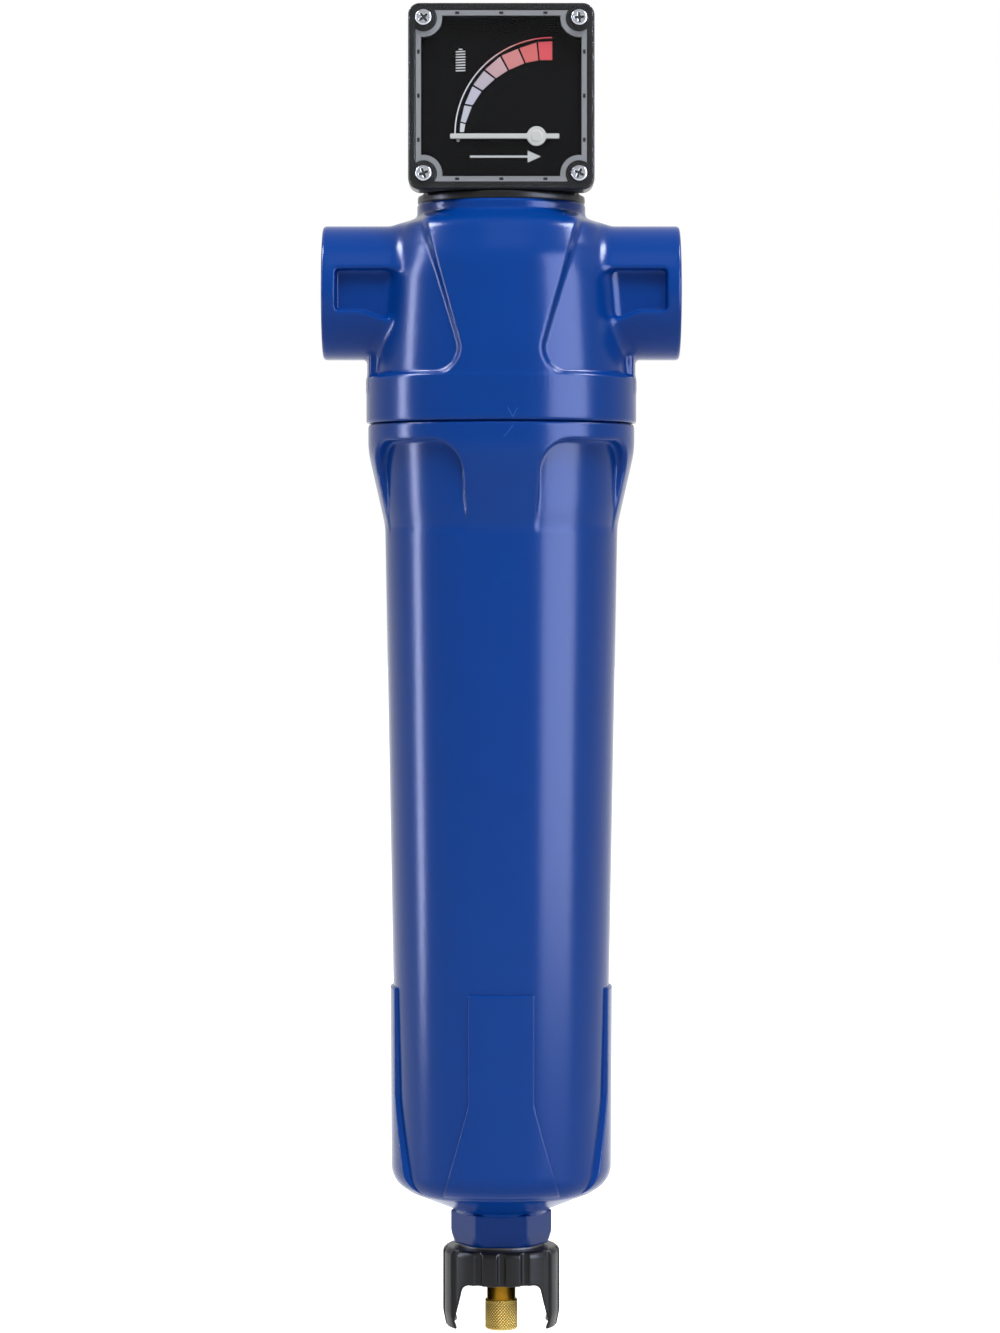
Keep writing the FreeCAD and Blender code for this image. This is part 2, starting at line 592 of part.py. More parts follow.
def bowl_shell():
    profile = [
        ("bowl_inner", "bowl_neck_top"), ("bowl_neck_radius", "bowl_neck_top"),
        ("bowl_neck_radius", "groove_top"), ("groove_radius", "groove_top"),
        ("groove_radius", "groove_foot"), ("bowl_neck_radius", "groove_foot"),
        ("bowl_neck_radius", "bowl_shoulder"), ("rim_radius", "bowl_shoulder"),
        ("rim_radius", "grip_top_knee"), ("barrel_top_radius", "grip_low_knee"),
        ("barrel_low_radius", "dome_start"), ("boss_neck_radius", "hex_top + boss_neck_height"),
        ("boss_neck_radius", "hex_top - 0.2"), ("shank_hole", "hex_top - 0.2"),
        ("shank_hole", "floor_level"), ("floor_flat_radius", "floor_level"),
        ("bowl_inner_low", "floor_edge"), ("bowl_inner", "grip_low_knee")]
    body = turned("bowl_turning", profile)
    rounded(body, "grip_top_round", ring_at(size("rim_radius"), size("grip_top_knee")))
    rounded(body, "grip_low_round", ring_at(size("barrel_top_radius"), size("grip_low_knee")))
    rounded(body, "dome_corner", ring_at(size("barrel_low_radius"), size("dome_start")))
    rounded(body, "dome_corner - 3", ring_at(size("bowl_inner_low"), size("floor_edge")))
    rounded(body, "edge_break", ring_at(size("rim_radius"), size("bowl_shoulder")))
    return body


def grip_recesses():
    band = turned("recess_band", [
        ("recess_radius", "recess_top"), ("rim_radius + 3", "recess_top"),
        ("rim_radius + 3", "grip_low_knee"), ("barrel_top_radius", "grip_low_knee")])
    bars = []
    for k, angle in enumerate((45, 135)):
        bar = padded("recess_bar_%d" % k, [
            ("-recess_half_width", "recess_top + 0.01"), ("recess_half_width", "recess_top + 0.01"),
            ("recess_half_width", "grip_low_knee - 5"), ("-recess_half_width", "grip_low_knee - 5")],
            "2 * rim_radius + 10")
        rounded(bar, "recess_corner", along_y_at(size("recess_half_width"), size("recess_top") + 0.01))
        bars.append(put(bar, turn=((0, 0, 1), angle)))
    return common("grip_recesses", band, fused("recess_bars", *bars))


def foot_pads():
    band = turned("pad_band", [
        ("barrel_low_radius - 2", "pad_top"), ("pad_radius", "pad_top"),
        ("pad_corner_radius", "pad_corner_level"),
        ("barrel_low_radius - 11", "dome_start + 1 - 11 * dome_slope"),
        ("barrel_low_radius - 2", "dome_start + 5")])
    rounded(band, "dome_corner + 1", ring_at(size("pad_corner_radius"), size("pad_corner_level")))
    bars = []
    for k, angle in enumerate((0, 90)):
        half = [("pad_half_width", "pad_top + 1"), ("pad_half_width", "pad_flare_level"),
                ("pad_half_foot", "dome_start"), ("pad_half_foot", "hex_top")]
        other = [("-" + x, level) for x, level in reversed(half)]
        bar = padded("pad_bar_%d" % k, half + other, "2 * pad_radius + 10")
        bars.append(put(bar, turn=((0, 0, 1), angle)))
    return common("foot_pads", band, fused("pad_bars", *bars))


def hexagon_boss():
    corners = [("hex_corner", "0"), ("hex_corner / 2", "hex_flats / 2"),
               ("-hex_corner / 2", "hex_flats / 2"), ("-hex_corner", "0"),
               ("-hex_corner / 2", "-hex_flats / 2"), ("hex_corner / 2", "-hex_flats / 2")]
    prism = padded("hex_prism", corners, "hex_height", "XY_Plane", middle=False)
    put(prism, z="hex_foot")
    blank = turned("hex_blank", [
        ("shank_hole", "hex_top"), ("hex_corner + 0.1", "hex_top"),
        ("hex_corner + 0.1", "hex_foot + hex_chamfer"),
        ("hex_corner + 0.1 - hex_chamfer_depth", "hex_foot"), ("shank_hole", "hex_foot")])
    return common("hex_boss", prism, blank)


def element_fins():
    fins = []
    for k in range(4):
        thing = doc.addObject("Part::Box", "fin_%d" % k)
        bind(thing, Length="bowl_inner_low + 2.2 - fin_inner_radius", Width="fin_thickness",
             Height="fin_top - dome_start - 5")
        turn = Rotation(Vector(0, 0, 1), 45 + 90 * k)
        start = turn.multVec(Vector(1, 0, 0))
        side = turn.multVec(Vector(0, 1, 0))
        thing.Placement.Rotation = turn
        for letter, along, across in zip("xy", start, side):
            thing.setExpression(".Placement.Base." + letter, full(
                "fin_inner_radius * %.6f - fin_thickness / 2 * %.6f" % (along, across)))
        thing.setExpression(".Placement.Base.z", full("dome_start + 5"))
        fins.append(thing)
    return fins


sub_part(fused("bowl", cut("bowl_gripped", bowl_shell(), grip_recesses()), foot_pads(), hexagon_boss(),
               *element_fins()), "filter_bowl")


def o_ring(name, middle_radius, cord_radius, z="0", x="0", y="0"):
    thing = doc.addObject("Part::Torus", name)
    bind(thing, Radius1=middle_radius, Radius2=cord_radius)
    return put(thing, x, y, z)


sub_part(o_ring("bowl_ring", "(groove_radius + socket_radius) / 2",
                "(socket_radius - groove_radius) / 2 - 0.05"), "bowl_seal", z="(groove_top + groove_foot) / 2")

# Filter element


def slotted_tube(name, outer, angle_offset):
    """A tube between the end caps with rows of slots."""
    tube = turned(name + "_tube", [
        (outer + " - core_wall", "stack_top"), (outer, "stack_top"),
        (outer, "stack_foot"), (outer + " - core_wall", "stack_foot")])
    rows = int((size("stack_top") - size("stack_foot")) / (size("slot_height") + size("slot_land")))
    slots = []
    for row in range(rows):
        level = "stack_top - slot_land - %d * (slot_height + slot_land) - slot_height" % row
        for k, angle in enumerate((0, 60, 120)):
            bar = doc.addObject("Part::Box", "%s_slot_%d_%d" % (name, row, k))
            bind(bar, Length="3 * " + outer, Width="slot_width", Height="slot_height")
            turn = Rotation(Vector(0, 0, 1), angle + angle_offset)
            along = turn.multVec(Vector(1, 0, 0))
            across = turn.multVec(Vector(0, 1, 0))
            bar.Placement.Rotation = turn
            for letter, start, side in zip("xy", along, across):
                bar.setExpression(".Placement.Base." + letter, full(
                    "-1.5 * %s * %.6f - slot_width / 2 * %.6f" % (outer, start, side)))
            bar.setExpression(".Placement.Base.z", full(level))
            slots.append(bar)
    return cut(name, tube, fused(name + "_slots", *slots))


def neck_groove(k):
    """Upper and lower level of a seal groove in the element neck."""
    top = "element_neck_top - neck_groove_land - %d * (neck_groove_land + neck_groove_height)" % k
    return top, top + " - neck_groove_height"


def top_cap():
    points = [("element_neck_bore", "element_neck_top"), ("element_neck_radius", "element_neck_top")]
    for k in range(2):
        top, foot = neck_groove(k)
        points += [("element_neck_radius", top), ("element_neck_radius - neck_groove_depth", top),
                   ("element_neck_radius - neck_groove_depth", foot), ("element_neck_radius", foot)]
    return turned("cap_turning", points + [
        ("element_neck_radius", "element_top"), ("cap_radius", "element_top"),
        ("cap_radius", "stack_top - cap_rim_height"), ("element_radius", "stack_top - cap_rim_height"),
        ("element_radius", "stack_top"), ("element_neck_bore", "stack_top")])


sub_part(top_cap(), "element_top_cap")
sub_part(grouped("neck_rings", *[
    o_ring("neck_ring_%d" % k, "element_neck_radius - neck_groove_depth / 2", "neck_groove_depth / 2",
           z="(%s) + neck_groove_height / 2" % neck_groove(k)[1]) for k in range(2)]), "element_neck_seals")
sub_part(slotted_tube("inner_tube", "core_radius", 0), "inner_core")
sub_part(turned("media", [
    ("core_radius", "stack_top"), ("media_radius", "stack_top"),
    ("media_radius", "stack_foot"), ("core_radius", "stack_foot")]), "filter_media")
sub_part(slotted_tube("outer_tube", "outer_core_radius", 30), "outer_core")
sub_part(turned("sleeve", [
    ("outer_core_radius", "stack_top"), ("element_radius", "stack_top"),
    ("element_radius", "stack_foot"), ("outer_core_radius", "stack_foot")]), "drain_sleeve")
sub_part(turned("bottom_cap", [
    ("0", "stack_foot"), ("element_radius", "stack_foot"), ("element_radius", "stack_foot + cap_rim_height"),
    ("cap_radius", "stack_foot + cap_rim_height"), ("cap_radius", "element_bottom"),
    ("0", "element_bottom")]), "element_bottom_cap")

# Float drain


def drain_body():
    return turned("drain_turning", [
        ("drain_bore", "guide_top"), ("guide_radius", "guide_top"), ("guide_radius", "flange_top"),
        ("drain_flange_radius", "flange_top"), ("drain_flange_radius", "floor_level"),
        ("flange_seal_radius + 1.4", "floor_level"),
        ("flange_seal_radius + 1.4", "floor_level + 2 * flange_seal_cord"),
        ("flange_seal_radius - 1.4", "floor_level + 2 * flange_seal_cord"),
        ("flange_seal_radius - 1.4", "floor_level"),
        ("shank_radius", "floor_level"), ("shank_radius", "shank_foot"),
        ("knob_stem_radius + running_gap", "shank_foot"),
        ("knob_stem_radius + running_gap", "knob_stem_top + 1"),
        ("drain_bore", "knob_stem_top + 3")])


sub_part(drain_body(), "drain_body")
sub_part(o_ring("body_ring", "flange_seal_radius", "flange_seal_cord"), "drain_body_seal",
         z="floor_level + flange_seal_cord")


def drain_cage():
    wall = turned("cage_wall_ring", [
        ("cage_radius - cage_wall", "float_top + float_rise - 1"),
        ("cage_radius", "float_top + float_rise - 1"),
        ("cage_radius", "flange_top"), ("cage_radius - cage_wall", "flange_top")])
    gates = []
    for k, angle in enumerate((0, 45, 90, 135)):
        gate = padded("cage_gate_%d" % k, [
            ("-cage_radius / 4", "flange_top + 3"), ("cage_radius / 4", "flange_top + 3"),
            ("cage_radius / 4", "float_top - 2"), ("-cage_radius / 4", "float_top - 2")], "3 * cage_radius")
        gates.append(put(gate, turn=((0, 0, 1), angle)))
    return cut("cage", wall, fused("cage_gates", *gates))


sub_part(drain_cage(), "drain_cage")


def lever_bracket():
    plate = turned("bracket_plate", [
        ("nozzle_stem", "guide_top"), ("bracket_radius", "guide_top"),
        ("bracket_radius", "bracket_top"), ("nozzle_stem", "bracket_top")])
    ears = padded("bracket_ears", [
        ("-lever_pin_offset - ear_half_width", "bracket_top - 1"),
        ("-lever_pin_offset + ear_half_width + 0.7", "bracket_top - 1"),
        ("-lever_pin_offset + ear_half_width", "lever_middle + 2.2"),
        ("-lever_pin_offset - ear_half_width", "lever_middle + 2.2")],
        "lever_width + 2 * (lever_side_gap + ear_thickness)")
    gap = box("bracket_gap", "8", "lever_width + 2 * lever_side_gap", "10", x="-lever_pin_offset - 4",
              y="-lever_width / 2 - lever_side_gap", z="bracket_top")
    pin_hole = cylinder("pin_hole", "lever_pin_radius", "20", x="-lever_pin_offset", y="10",
                        z="lever_middle", turn=FACING_FRONT)
    return cut("bracket", cut("bracket_slotted", fused("bracket_blank", plate, ears), gap), pin_hole)


sub_part(lever_bracket(), "lever_bracket")
sub_part(turned("nozzle", [
    ("nozzle_bore", "guide_top + 0.4"), ("nozzle_stem", "guide_top + 0.4"), ("nozzle_stem", "bracket_top"),
    ("1.5 * nozzle_stem", "bracket_top"), ("2 * nozzle_bore", "nozzle_top"), ("nozzle_bore", "nozzle_top")]),
    "valve_nozzle")
sub_part(cylinder("pin", "lever_pin_radius", "2 * pin_half_length"), "lever_pin",
         x="half_span - lever_pin_offset", y="pin_half_length", z="lever_middle", turn=FACING_FRONT)


def drain_float():
    ring = turned("float_ring", [
        ("guide_radius + float_clearance", "float_top"), ("float_radius", "float_top"),
        ("float_radius", "float_foot"), ("guide_radius + float_clearance", "float_foot")])
    rounded(ring, "float_corner", lambda edge: ring_at(size("float_radius"), size("float_top"))(edge)
            or ring_at(size("float_radius"), size("float_foot"))(edge))
    hollow = turned("float_hollow", [
        ("guide_radius + float_clearance + float_sleeve", "float_top - float_wall"),
        ("float_radius - float_wall", "float_top - float_wall"),
        ("float_radius - float_wall", "float_foot + float_wall"),
        ("guide_radius + float_clearance + float_sleeve", "float_foot + float_wall")])
    post = cylinder("float_post", "post_radius", "lever_foot - touch_gap - float_top + float_wall / 2",
                    x="post_offset", z="float_top - float_wall / 2")
    return fused("float", cut("float_shell", ring, hollow), post)


sub_part(drain_float(), "drain_float")


def drain_lever():
    arm = box("lever_arm", "lever_length", "lever_width", "lever_thickness",
              x="-lever_pin_offset", y="-lever_width / 2", z="lever_foot")
    eye = cylinder("lever_eye", "lever_thickness / 2 + 0.5", "lever_width", x="-lever_pin_offset",
                   y="lever_width / 2", z="lever_middle", turn=FACING_FRONT)
    hole = cylinder("lever_hole", "lever_pin_radius + running_gap", "20", x="-lever_pin_offset", y="10",
                    z="lever_middle", turn=FACING_FRONT)
    return cut("lever", fused("lever_blank", arm, eye), hole)


sub_part(drain_lever(), "drain_lever")
sub_part(cylinder("pad_disc", "valve_pad_radius", "pad_thickness - touch_gap"), "valve_pad",
         z="nozzle_top + touch_gap")

# Drain collar and knob

sub_part(turned("washer", [
    ("shank_hole", "hex_foot"), ("hex_flats / 2 - washer_margin", "hex_foot"),
    ("hex_flats / 2 - washer_margin", "collar_top + touch_gap"), ("shank_hole", "collar_top + touch_gap")]),
    "collar_washer")


def drain_collar():
    blank = turned("collar_blank", [
        ("shank_radius + running_gap", "collar_top"), ("collar_radius - collar_chamfer", "collar_top"),
        ("collar_radius", "collar_top - collar_chamfer"), ("collar_radius", "claw_foot + claw_slant"),
        ("collar_radius - 1.2", "claw_foot"), ("skirt_radius - 0.6", "claw_foot"),
        ("skirt_radius - 0.6", "claw_foot + 1.6"), ("skirt_radius + 1", "claw_foot + 3.4"),
        ("skirt_radius", "web_foot"), ("shank_radius + running_gap", "web_foot")])
    window = padded("claw_window", [
        ("-window_half_top", "collar_foot"), ("window_half_top", "collar_foot"),
        ("window_half_foot", "claw_foot + 3"), ("window_half_foot - 1.4", "claw_foot - 1"),
        ("-window_half_foot + 1.4", "claw_foot - 1"), ("-window_half_foot", "claw_foot + 3")],
        "2 * collar_radius + 10")
    rounded(window, "window_corner", along_y_at(size("window_half_top"), size("collar_foot")))
    flutes = []
    for k, angle in enumerate((0, 24, 54, 80, 100, 126, 156, 180, 204, 234, 260, 280, 306, 336)):
        turn = Rotation(Vector(0, 0, 1), angle - 90).multVec(Vector(1, 0, 0))
        flutes.append(cylinder("flute_%d" % k, "flute_radius", "collar_top - claw_foot",
                               x="(collar_radius + 0.2) * %.6f" % turn.x,
                               y="(collar_radius + 0.2) * %.6f" % turn.y, z="claw_foot"))
    return cut("collar", blank, fused("collar_cuts", window, *flutes))


sub_part(drain_collar(), "drain_collar")
sub_part(turned("knob_turning", [
    ("drain_bore", "knob_stem_top"), ("knob_stem_radius - 1", "knob_stem_top"),
    ("knob_stem_radius", "knob_stem_top - 1"), ("knob_stem_radius", "knob_stem_top - 4"),
    ("knob_stem_radius - 1.4", "knob_stem_top - 4"), ("knob_stem_radius - 1.4", "knob_stem_top - 6"),
    ("knob_stem_radius", "knob_stem_top - 6"), ("knob_stem_radius", "shank_foot - 0.4"),
    ("knob_neck_radius", "shank_foot - 0.4"), ("knob_neck_radius", "knob_knurl_top"),
    ("knob_radius - 0.2", "knob_knurl_top - 0.4"), ("knob_radius", "knob_foot + 0.6"),
    ("knob_radius - 0.6", "knob_foot"), ("drain_bore", "knob_foot")]), "drain_knob")
sub_part(o_ring("stem_ring", "knob_stem_radius - 0.66", "0.68"), "knob_seal", z="knob_stem_top - 5")

# Pressure-drop gauge

CORNERS = (("-", "-"), ("", "-"), ("", ""), ("-", ""))
HOUSING_TIES = (("-screw_half + tie_inset", "foot_top + tie_inset"),
                ("-screw_half + tie_inset", "block_top - tie_drop"))


def rounded_square(name, half, depth, front, corner):
    """A square plate with round corners, its front face at a given y, running back by depth."""
    body = padded(name, [
        ("-(%s)" % half, "-(%s)" % half), (half, "-(%s)" % half), (half, half), ("-(%s)" % half, half)], depth)
    rounded(body, corner, lambda edge: along_y_at(abs(edge.BoundBox.XMin), edge.BoundBox.ZMin)(edge))
    return put(body, y="(%s) + (%s) / 2" % (front, depth), z="gauge_level")


def notched_square(name, half, notch, depth, front):
    """A square plate with a round notch at each cover screw."""
    plate = box(name + "_plate", "2 * (%s)" % half, depth, "2 * (%s)" % half,
                x="-(%s)" % half, y=front, z="gauge_level - (%s)" % half)
    notches = [cylinder("%s_notch_%d" % (name, k), notch, "(%s) + 2" % depth, x=a + "screw_half",
                        y="(%s) + (%s) + 1" % (front, depth), z="gauge_level + (%sscrew_half)" % b,
                        turn=FACING_FRONT) for k, (a, b) in enumerate(CORNERS)]
    return cut(name, plate, fused(name + "_notches", *notches))


def screw_holes(name, radius, front, depth):
    return [cylinder("%s_%d" % (name, k), radius, depth, x=a + "screw_half",
                     y="(%s) + (%s)" % (front, depth), z="gauge_level + (%sscrew_half)" % b,
                     turn=FACING_FRONT) for k, (a, b) in enumerate(CORNERS)]


def gauge_housing():
    case = rounded_square("case", "gauge_half", "housing_depth", "housing_front", "gauge_corner")
    seal_seat = notched_square("seal_seat", "window_half + seal_width", "notch_radius - seal_width",
                               "seal_depth", "housing_front")
    hollow = notched_square("dial_hollow", "window_half", "notch_radius", "dial_back - housing_front + 0.01",
                            "housing_front")
    well = notched_square("magnet_well", "window_half - ledge_width", "notch_radius + ledge_width",
                          "housing_back - housing_floor - dial_back", "dial_back")
    holes = screw_holes("case_hole", "cover_screw_radius", "housing_front - 1", "cover_screw_length + 3")
    pivot = cylinder("case_pivot", "pointer_shaft_radius + running_gap", "2", x="pointer_x",
                     y="housing_back - housing_floor + 1.5", z="pointer_level", turn=FACING_FRONT)
    ties = [cylinder("case_tie_%d" % k, "tie_radius", "2 * housing_floor", x=x, y="housing_back + 1", z=z,
                     turn=FACING_FRONT) for k, (x, z) in enumerate(HOUSING_TIES)]
    return cut("housing", case, fused("case_cuts", seal_seat, hollow, well, pivot, *holes, *ties))


sub_part(gauge_housing(), "gauge_housing")
sub_part(grouped("ties", *[put(turned("tie_%d" % k, [
    ("0", "0"), ("tie_radius", "0"), ("tie_radius", "tie_length"), ("tie_radius + 1.4", "tie_length"),
    ("tie_radius + 1.4", "tie_length + 1.8"), ("0", "tie_length + 1.8")]),
    x=x, y="housing_back - housing_floor + tie_length", z=z, turn=FACING_FRONT)
    for k, (x, z) in enumerate(HOUSING_TIES)]), "housing_screws")
sub_part(cut("seal_cord", notched_square("seal_outer", "window_half + seal_width", "notch_radius - seal_width",
                                         "seal_depth", "housing_front"),
             notched_square("seal_inner", "window_half", "notch_radius", "3", "housing_front - 1")),
         "gauge_cover_seal")


def gauge_dial():
    plate = notched_square("dial_plate", "window_half - dial_gap", "notch_radius + dial_gap",
                           "dial_thickness", "dial_front")
    hole = cylinder("dial_hole", "pointer_shaft_radius + bush_wall", "4", x="pointer_x", y="dial_back + 1",
                    z="pointer_level", turn=FACING_FRONT)
    return cut("dial", plate, hole)


sub_part(gauge_dial(), "gauge_dial")
sub_part(turned("bush", [
    ("pointer_shaft_radius + running_gap / 2", "0"), ("pointer_shaft_radius + 2 * bush_wall", "0"),
    ("pointer_shaft_radius + 2 * bush_wall", "bush_flange"), ("pointer_shaft_radius + bush_wall", "bush_flange"),
    ("pointer_shaft_radius + bush_wall", "bush_flange + dial_thickness"),
    ("pointer_shaft_radius + running_gap / 2", "bush_flange + dial_thickness")]), "pointer_bearing",
    x="half_span + pointer_x", y="dial_back + bush_flange", z="pointer_level", turn=FACING_FRONT)


def gauge_cover():
    plate = rounded_square("cover_plate", "gauge_half - cover_setback", "cover_thickness", "-gauge_front",
                           "gauge_corner - cover_setback")
    pane = notched_square("cover_pane", "window_half - pane_gap", "notch_radius + pane_gap", "pane_depth",
                          "housing_front")
    holes = screw_holes("cover_hole", "cover_screw_radius + touch_gap", "-gauge_front - 1",
                        "2 * cover_thickness")
    seats = screw_holes("cover_seat", "cover_screw_head + 2 * touch_gap", "-gauge_front - 1",
                        "cover_screw_sink + 1")
    return cut("cover", fused("cover_blank", plate, pane), fused("cover_cuts", *holes, *seats))


sub_part(gauge_cover(), "gauge_cover")
sub_part(grouped("cover_screw_set", *[put(turned("cover_screw_%d" % k, [
    ("0", "0"), ("cover_screw_radius", "0"), ("cover_screw_radius", "cover_screw_length"),
    ("cover_screw_head", "cover_screw_length"),
    ("cover_screw_head", "cover_screw_length + cover_screw_head_height - 0.8"),
    ("cover_screw_head - 1.1", "cover_screw_length + cover_screw_head_height"),
    ("0", "cover_screw_length + cover_screw_head_height")]),
    x=a + "screw_half", y="-gauge_front + cover_screw_sink + cover_screw_length",
    z="gauge_level + (%sscrew_half)" % b,
    turn=FACING_FRONT) for k, (a, b) in enumerate(CORNERS)]), "gauge_cover_screws")


def gauge_pointer():
    arm = padded("pointer_arm", [
        ("-pointer_reach", "-pointer_width / 2"), ("pointer_tail", "-pointer_width / 2"),
        ("pointer_tail", "pointer_width / 2"), ("-pointer_reach", "pointer_width / 2")],
        "pointer_thickness")
    put(arm, y="-pointer_thickness / 2")
    hub = cylinder("pointer_hub", "pointer_hub_radius", "pointer_thickness", turn=FACING_FRONT)
    hole = cylinder("pointer_hole", "pointer_shaft_radius", "8", y="4", turn=FACING_FRONT)
    return cut("pointer", fused("pointer_blank", arm, hub), hole)


sub_part(gauge_pointer(), "gauge_pointer", x="half_span + pointer_x", y="pointer_back", z="pointer_level")
sub_part(cylinder("spindle", "pointer_shaft_radius", "housing_back - housing_floor + 1 - pointer_front - 0.2"),
         "pointer_shaft", x="half_span + pointer_x", y="housing_back - housing_floor + 1", z="pointer_level",
         turn=FACING_FRONT)
sub_part(turned("disc_magnet", [
    ("pointer_shaft_radius", "0"), ("magnet_radius", "0"), ("magnet_radius", "magnet_thickness"),
    ("pointer_shaft_radius", "magnet_thickness")]), "pointer_magnet", x="half_span + pointer_x",
    y="housing_back - housing_floor - 1", z="pointer_level", turn=FACING_FRONT)


def gauge_base():
    foot = cylinder("foot_disc", "foot_radius", "foot_thickness", z="head_top")
    block = box("cylinder_block", "2 * block_half_width", "block_depth", "block_top - head_top",
                x="-block_half_width", y="housing_back", z="head_top")
    cuts = [
        cylinder("sensing_bore", "bore_radius", "block_top - bore_foot + 1", x="pointer_x", y="bore_y",
                 z="bore_foot"),
        cylinder("high_drilling", "sensing_hole_radius", "bore_foot - head_top + 1", x="high_side_x",
                 z="head_top"),
        cylinder("low_drilling", "sensing_hole_radius", "cross_hole - head_top", x="low_side_x",
                 z="head_top"),
        cylinder("cross_drilling", "sensing_hole_radius", "low_side_x - pointer_x", x="pointer_x",
                 z="cross_hole", turn=FACING_X),
        cylinder("high_ring_seat", "port_ring_radius + port_ring_cord + touch_gap", "2 * port_ring_cord",
                 x="high_side_x", z="head_top"),
        cylinder("low_ring_seat", "port_ring_radius + port_ring_cord + touch_gap", "2 * port_ring_cord",
                 x="low_side_x", z="head_top"),
    ]
    for k, sign in enumerate(("", "-")):
        cuts.append(cylinder("foot_hole_%d" % k, "foot_screw_radius", "foot_thickness + 1",
                             x=sign + "foot_screw_x", y="foot_screw_y", z="head_top"))
    for k, (x, z) in enumerate(HOUSING_TIES):
        cuts.append(cylinder("base_tie_%d" % k, "tie_radius", "6", x=x, y="housing_back + 5", z=z,
                             turn=FACING_FRONT))
    return cut("base", fused("base_blank", foot, block), fused("base_cuts", *cuts))


sub_part(gauge_base(), "gauge_base")
sub_part(grouped("foot_screws", *[put(turned("foot_screw_%d" % k, [
    ("0", "0"), ("foot_screw_radius", "0"), ("foot_screw_radius", "foot_screw_grip + foot_thickness"),
    ("foot_screw_head", "foot_screw_grip + foot_thickness"),
    ("foot_screw_head", "foot_screw_grip + foot_thickness + foot_screw_head_height"),
    ("0", "foot_screw_grip + foot_thickness + foot_screw_head_height")]),
    x=sign + "foot_screw_x", y="foot_screw_y", z="head_top - foot_screw_grip")
    for k, sign in enumerate(("", "-"))]),
    "gauge_base_screws")
sub_part(grouped("port_rings", *[o_ring("port_ring_%d" % k, "port_ring_radius", "port_ring_cord",
                                        z="head_top + port_ring_cord", x=x)
                                 for k, x in enumerate(("high_side_x", "low_side_x"))]), "gauge_port_seals")
sub_part(turned("piston_turning", [
    ("0", "piston_foot"), ("bore_radius - 0.6", "piston_foot"), ("bore_radius - 0.6", "piston_foot + 1"),
    ("bore_radius - running_gap", "piston_foot + 1"), ("bore_radius - running_gap", "piston_foot + 3"),
    ("bore_radius - piston_groove_depth", "piston_foot + 3"),
    ("bore_radius - piston_groove_depth", "piston_foot + 5"),
    ("bore_radius - running_gap", "piston_foot + 5"), ("bore_radius - running_gap", "piston_top"),
    ("rod_magnet_radius", "piston_top"), ("rod_magnet_radius", "piston_top - rod_magnet_length"),
    ("0", "piston_top - rod_magnet_length")]),
    "sensing_piston", x="half_span + pointer_x", y="bore_y")
sub_part(o_ring("piston_ring", "bore_radius - piston_groove_depth / 2 - 0.02",
                "piston_groove_depth / 2 - 0.03"), "piston_seal",
         x="half_span + pointer_x", y="bore_y", z="piston_foot + 4")
sub_part(cylinder("rod_magnet", "rod_magnet_radius", "rod_magnet_length"), "piston_magnet",
         x="half_span + pointer_x", y="bore_y", z="piston_top - rod_magnet_length")
sub_part(turned("plug_turning", [
    ("0", "plug_foot"), ("bore_radius", "plug_foot"), ("bore_radius", "block_top"),
    ("bore_radius + plug_rim", "block_top"), ("bore_radius + plug_rim", "block_top + plug_head"),
    ("0", "block_top + plug_head")]),
    "cylinder_plug", x="half_span + pointer_x", y="bore_y")


def measuring_spring():
    """An eight-sided wire swept along a helix between the piston and the plug."""
    wire = size("spring_wire") / 2
    length = size("plug_foot") - size("piston_top") - 2 * wire - 2 * size("touch_gap")
    radius = size("bore_radius") - wire - 1
    helix = Part.makeHelix(length / size("spring_turns"), length, radius)
    steps = [math.radians(45 * k) for k in range(9)]
    section = Part.makePolygon([Vector(radius + wire * math.cos(a), 0, wire * math.sin(a)) for a in steps])
    thing = doc.addObject("Part::Feature", "coil_spring")
    thing.Shape = Part.Wire(helix.Edges).makePipeShell([section], True, True)
    return thing


sub_part(measuring_spring(), "piston_spring", x="half_span + pointer_x", y="bore_y",
         z="piston_top + spring_wire / 2 + touch_gap")

# Build, check and write

doc.recompute()
for item in doc.Objects:
    if "Invalid" in item.State or "Error" in item.State:
        raise RuntimeError("%s did not build: %s" % (item.Label, item.State))
for item in SUB_PARTS:
    if item.Shape.isNull() or not item.Shape.isValid():
        raise RuntimeError("%s has no valid shape" % item.Label)

os.makedirs("parts", exist_ok=True)
for item in SUB_PARTS:
    item.Shape.exportStep("parts/%s.step" % item.Label)
print("%d sub-parts written" % len(SUB_PARTS))
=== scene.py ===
# Coalescing compressed air filter, dressed for the render.
# The frame gives the pieces in metres. Helpers work in millimetres about the filter's own axis
# (x right, y back, z up from the port axis) and turn into metres in the last step.

import math

import bmesh
import bpy
import numpy as np
from mathutils import Matrix, Vector


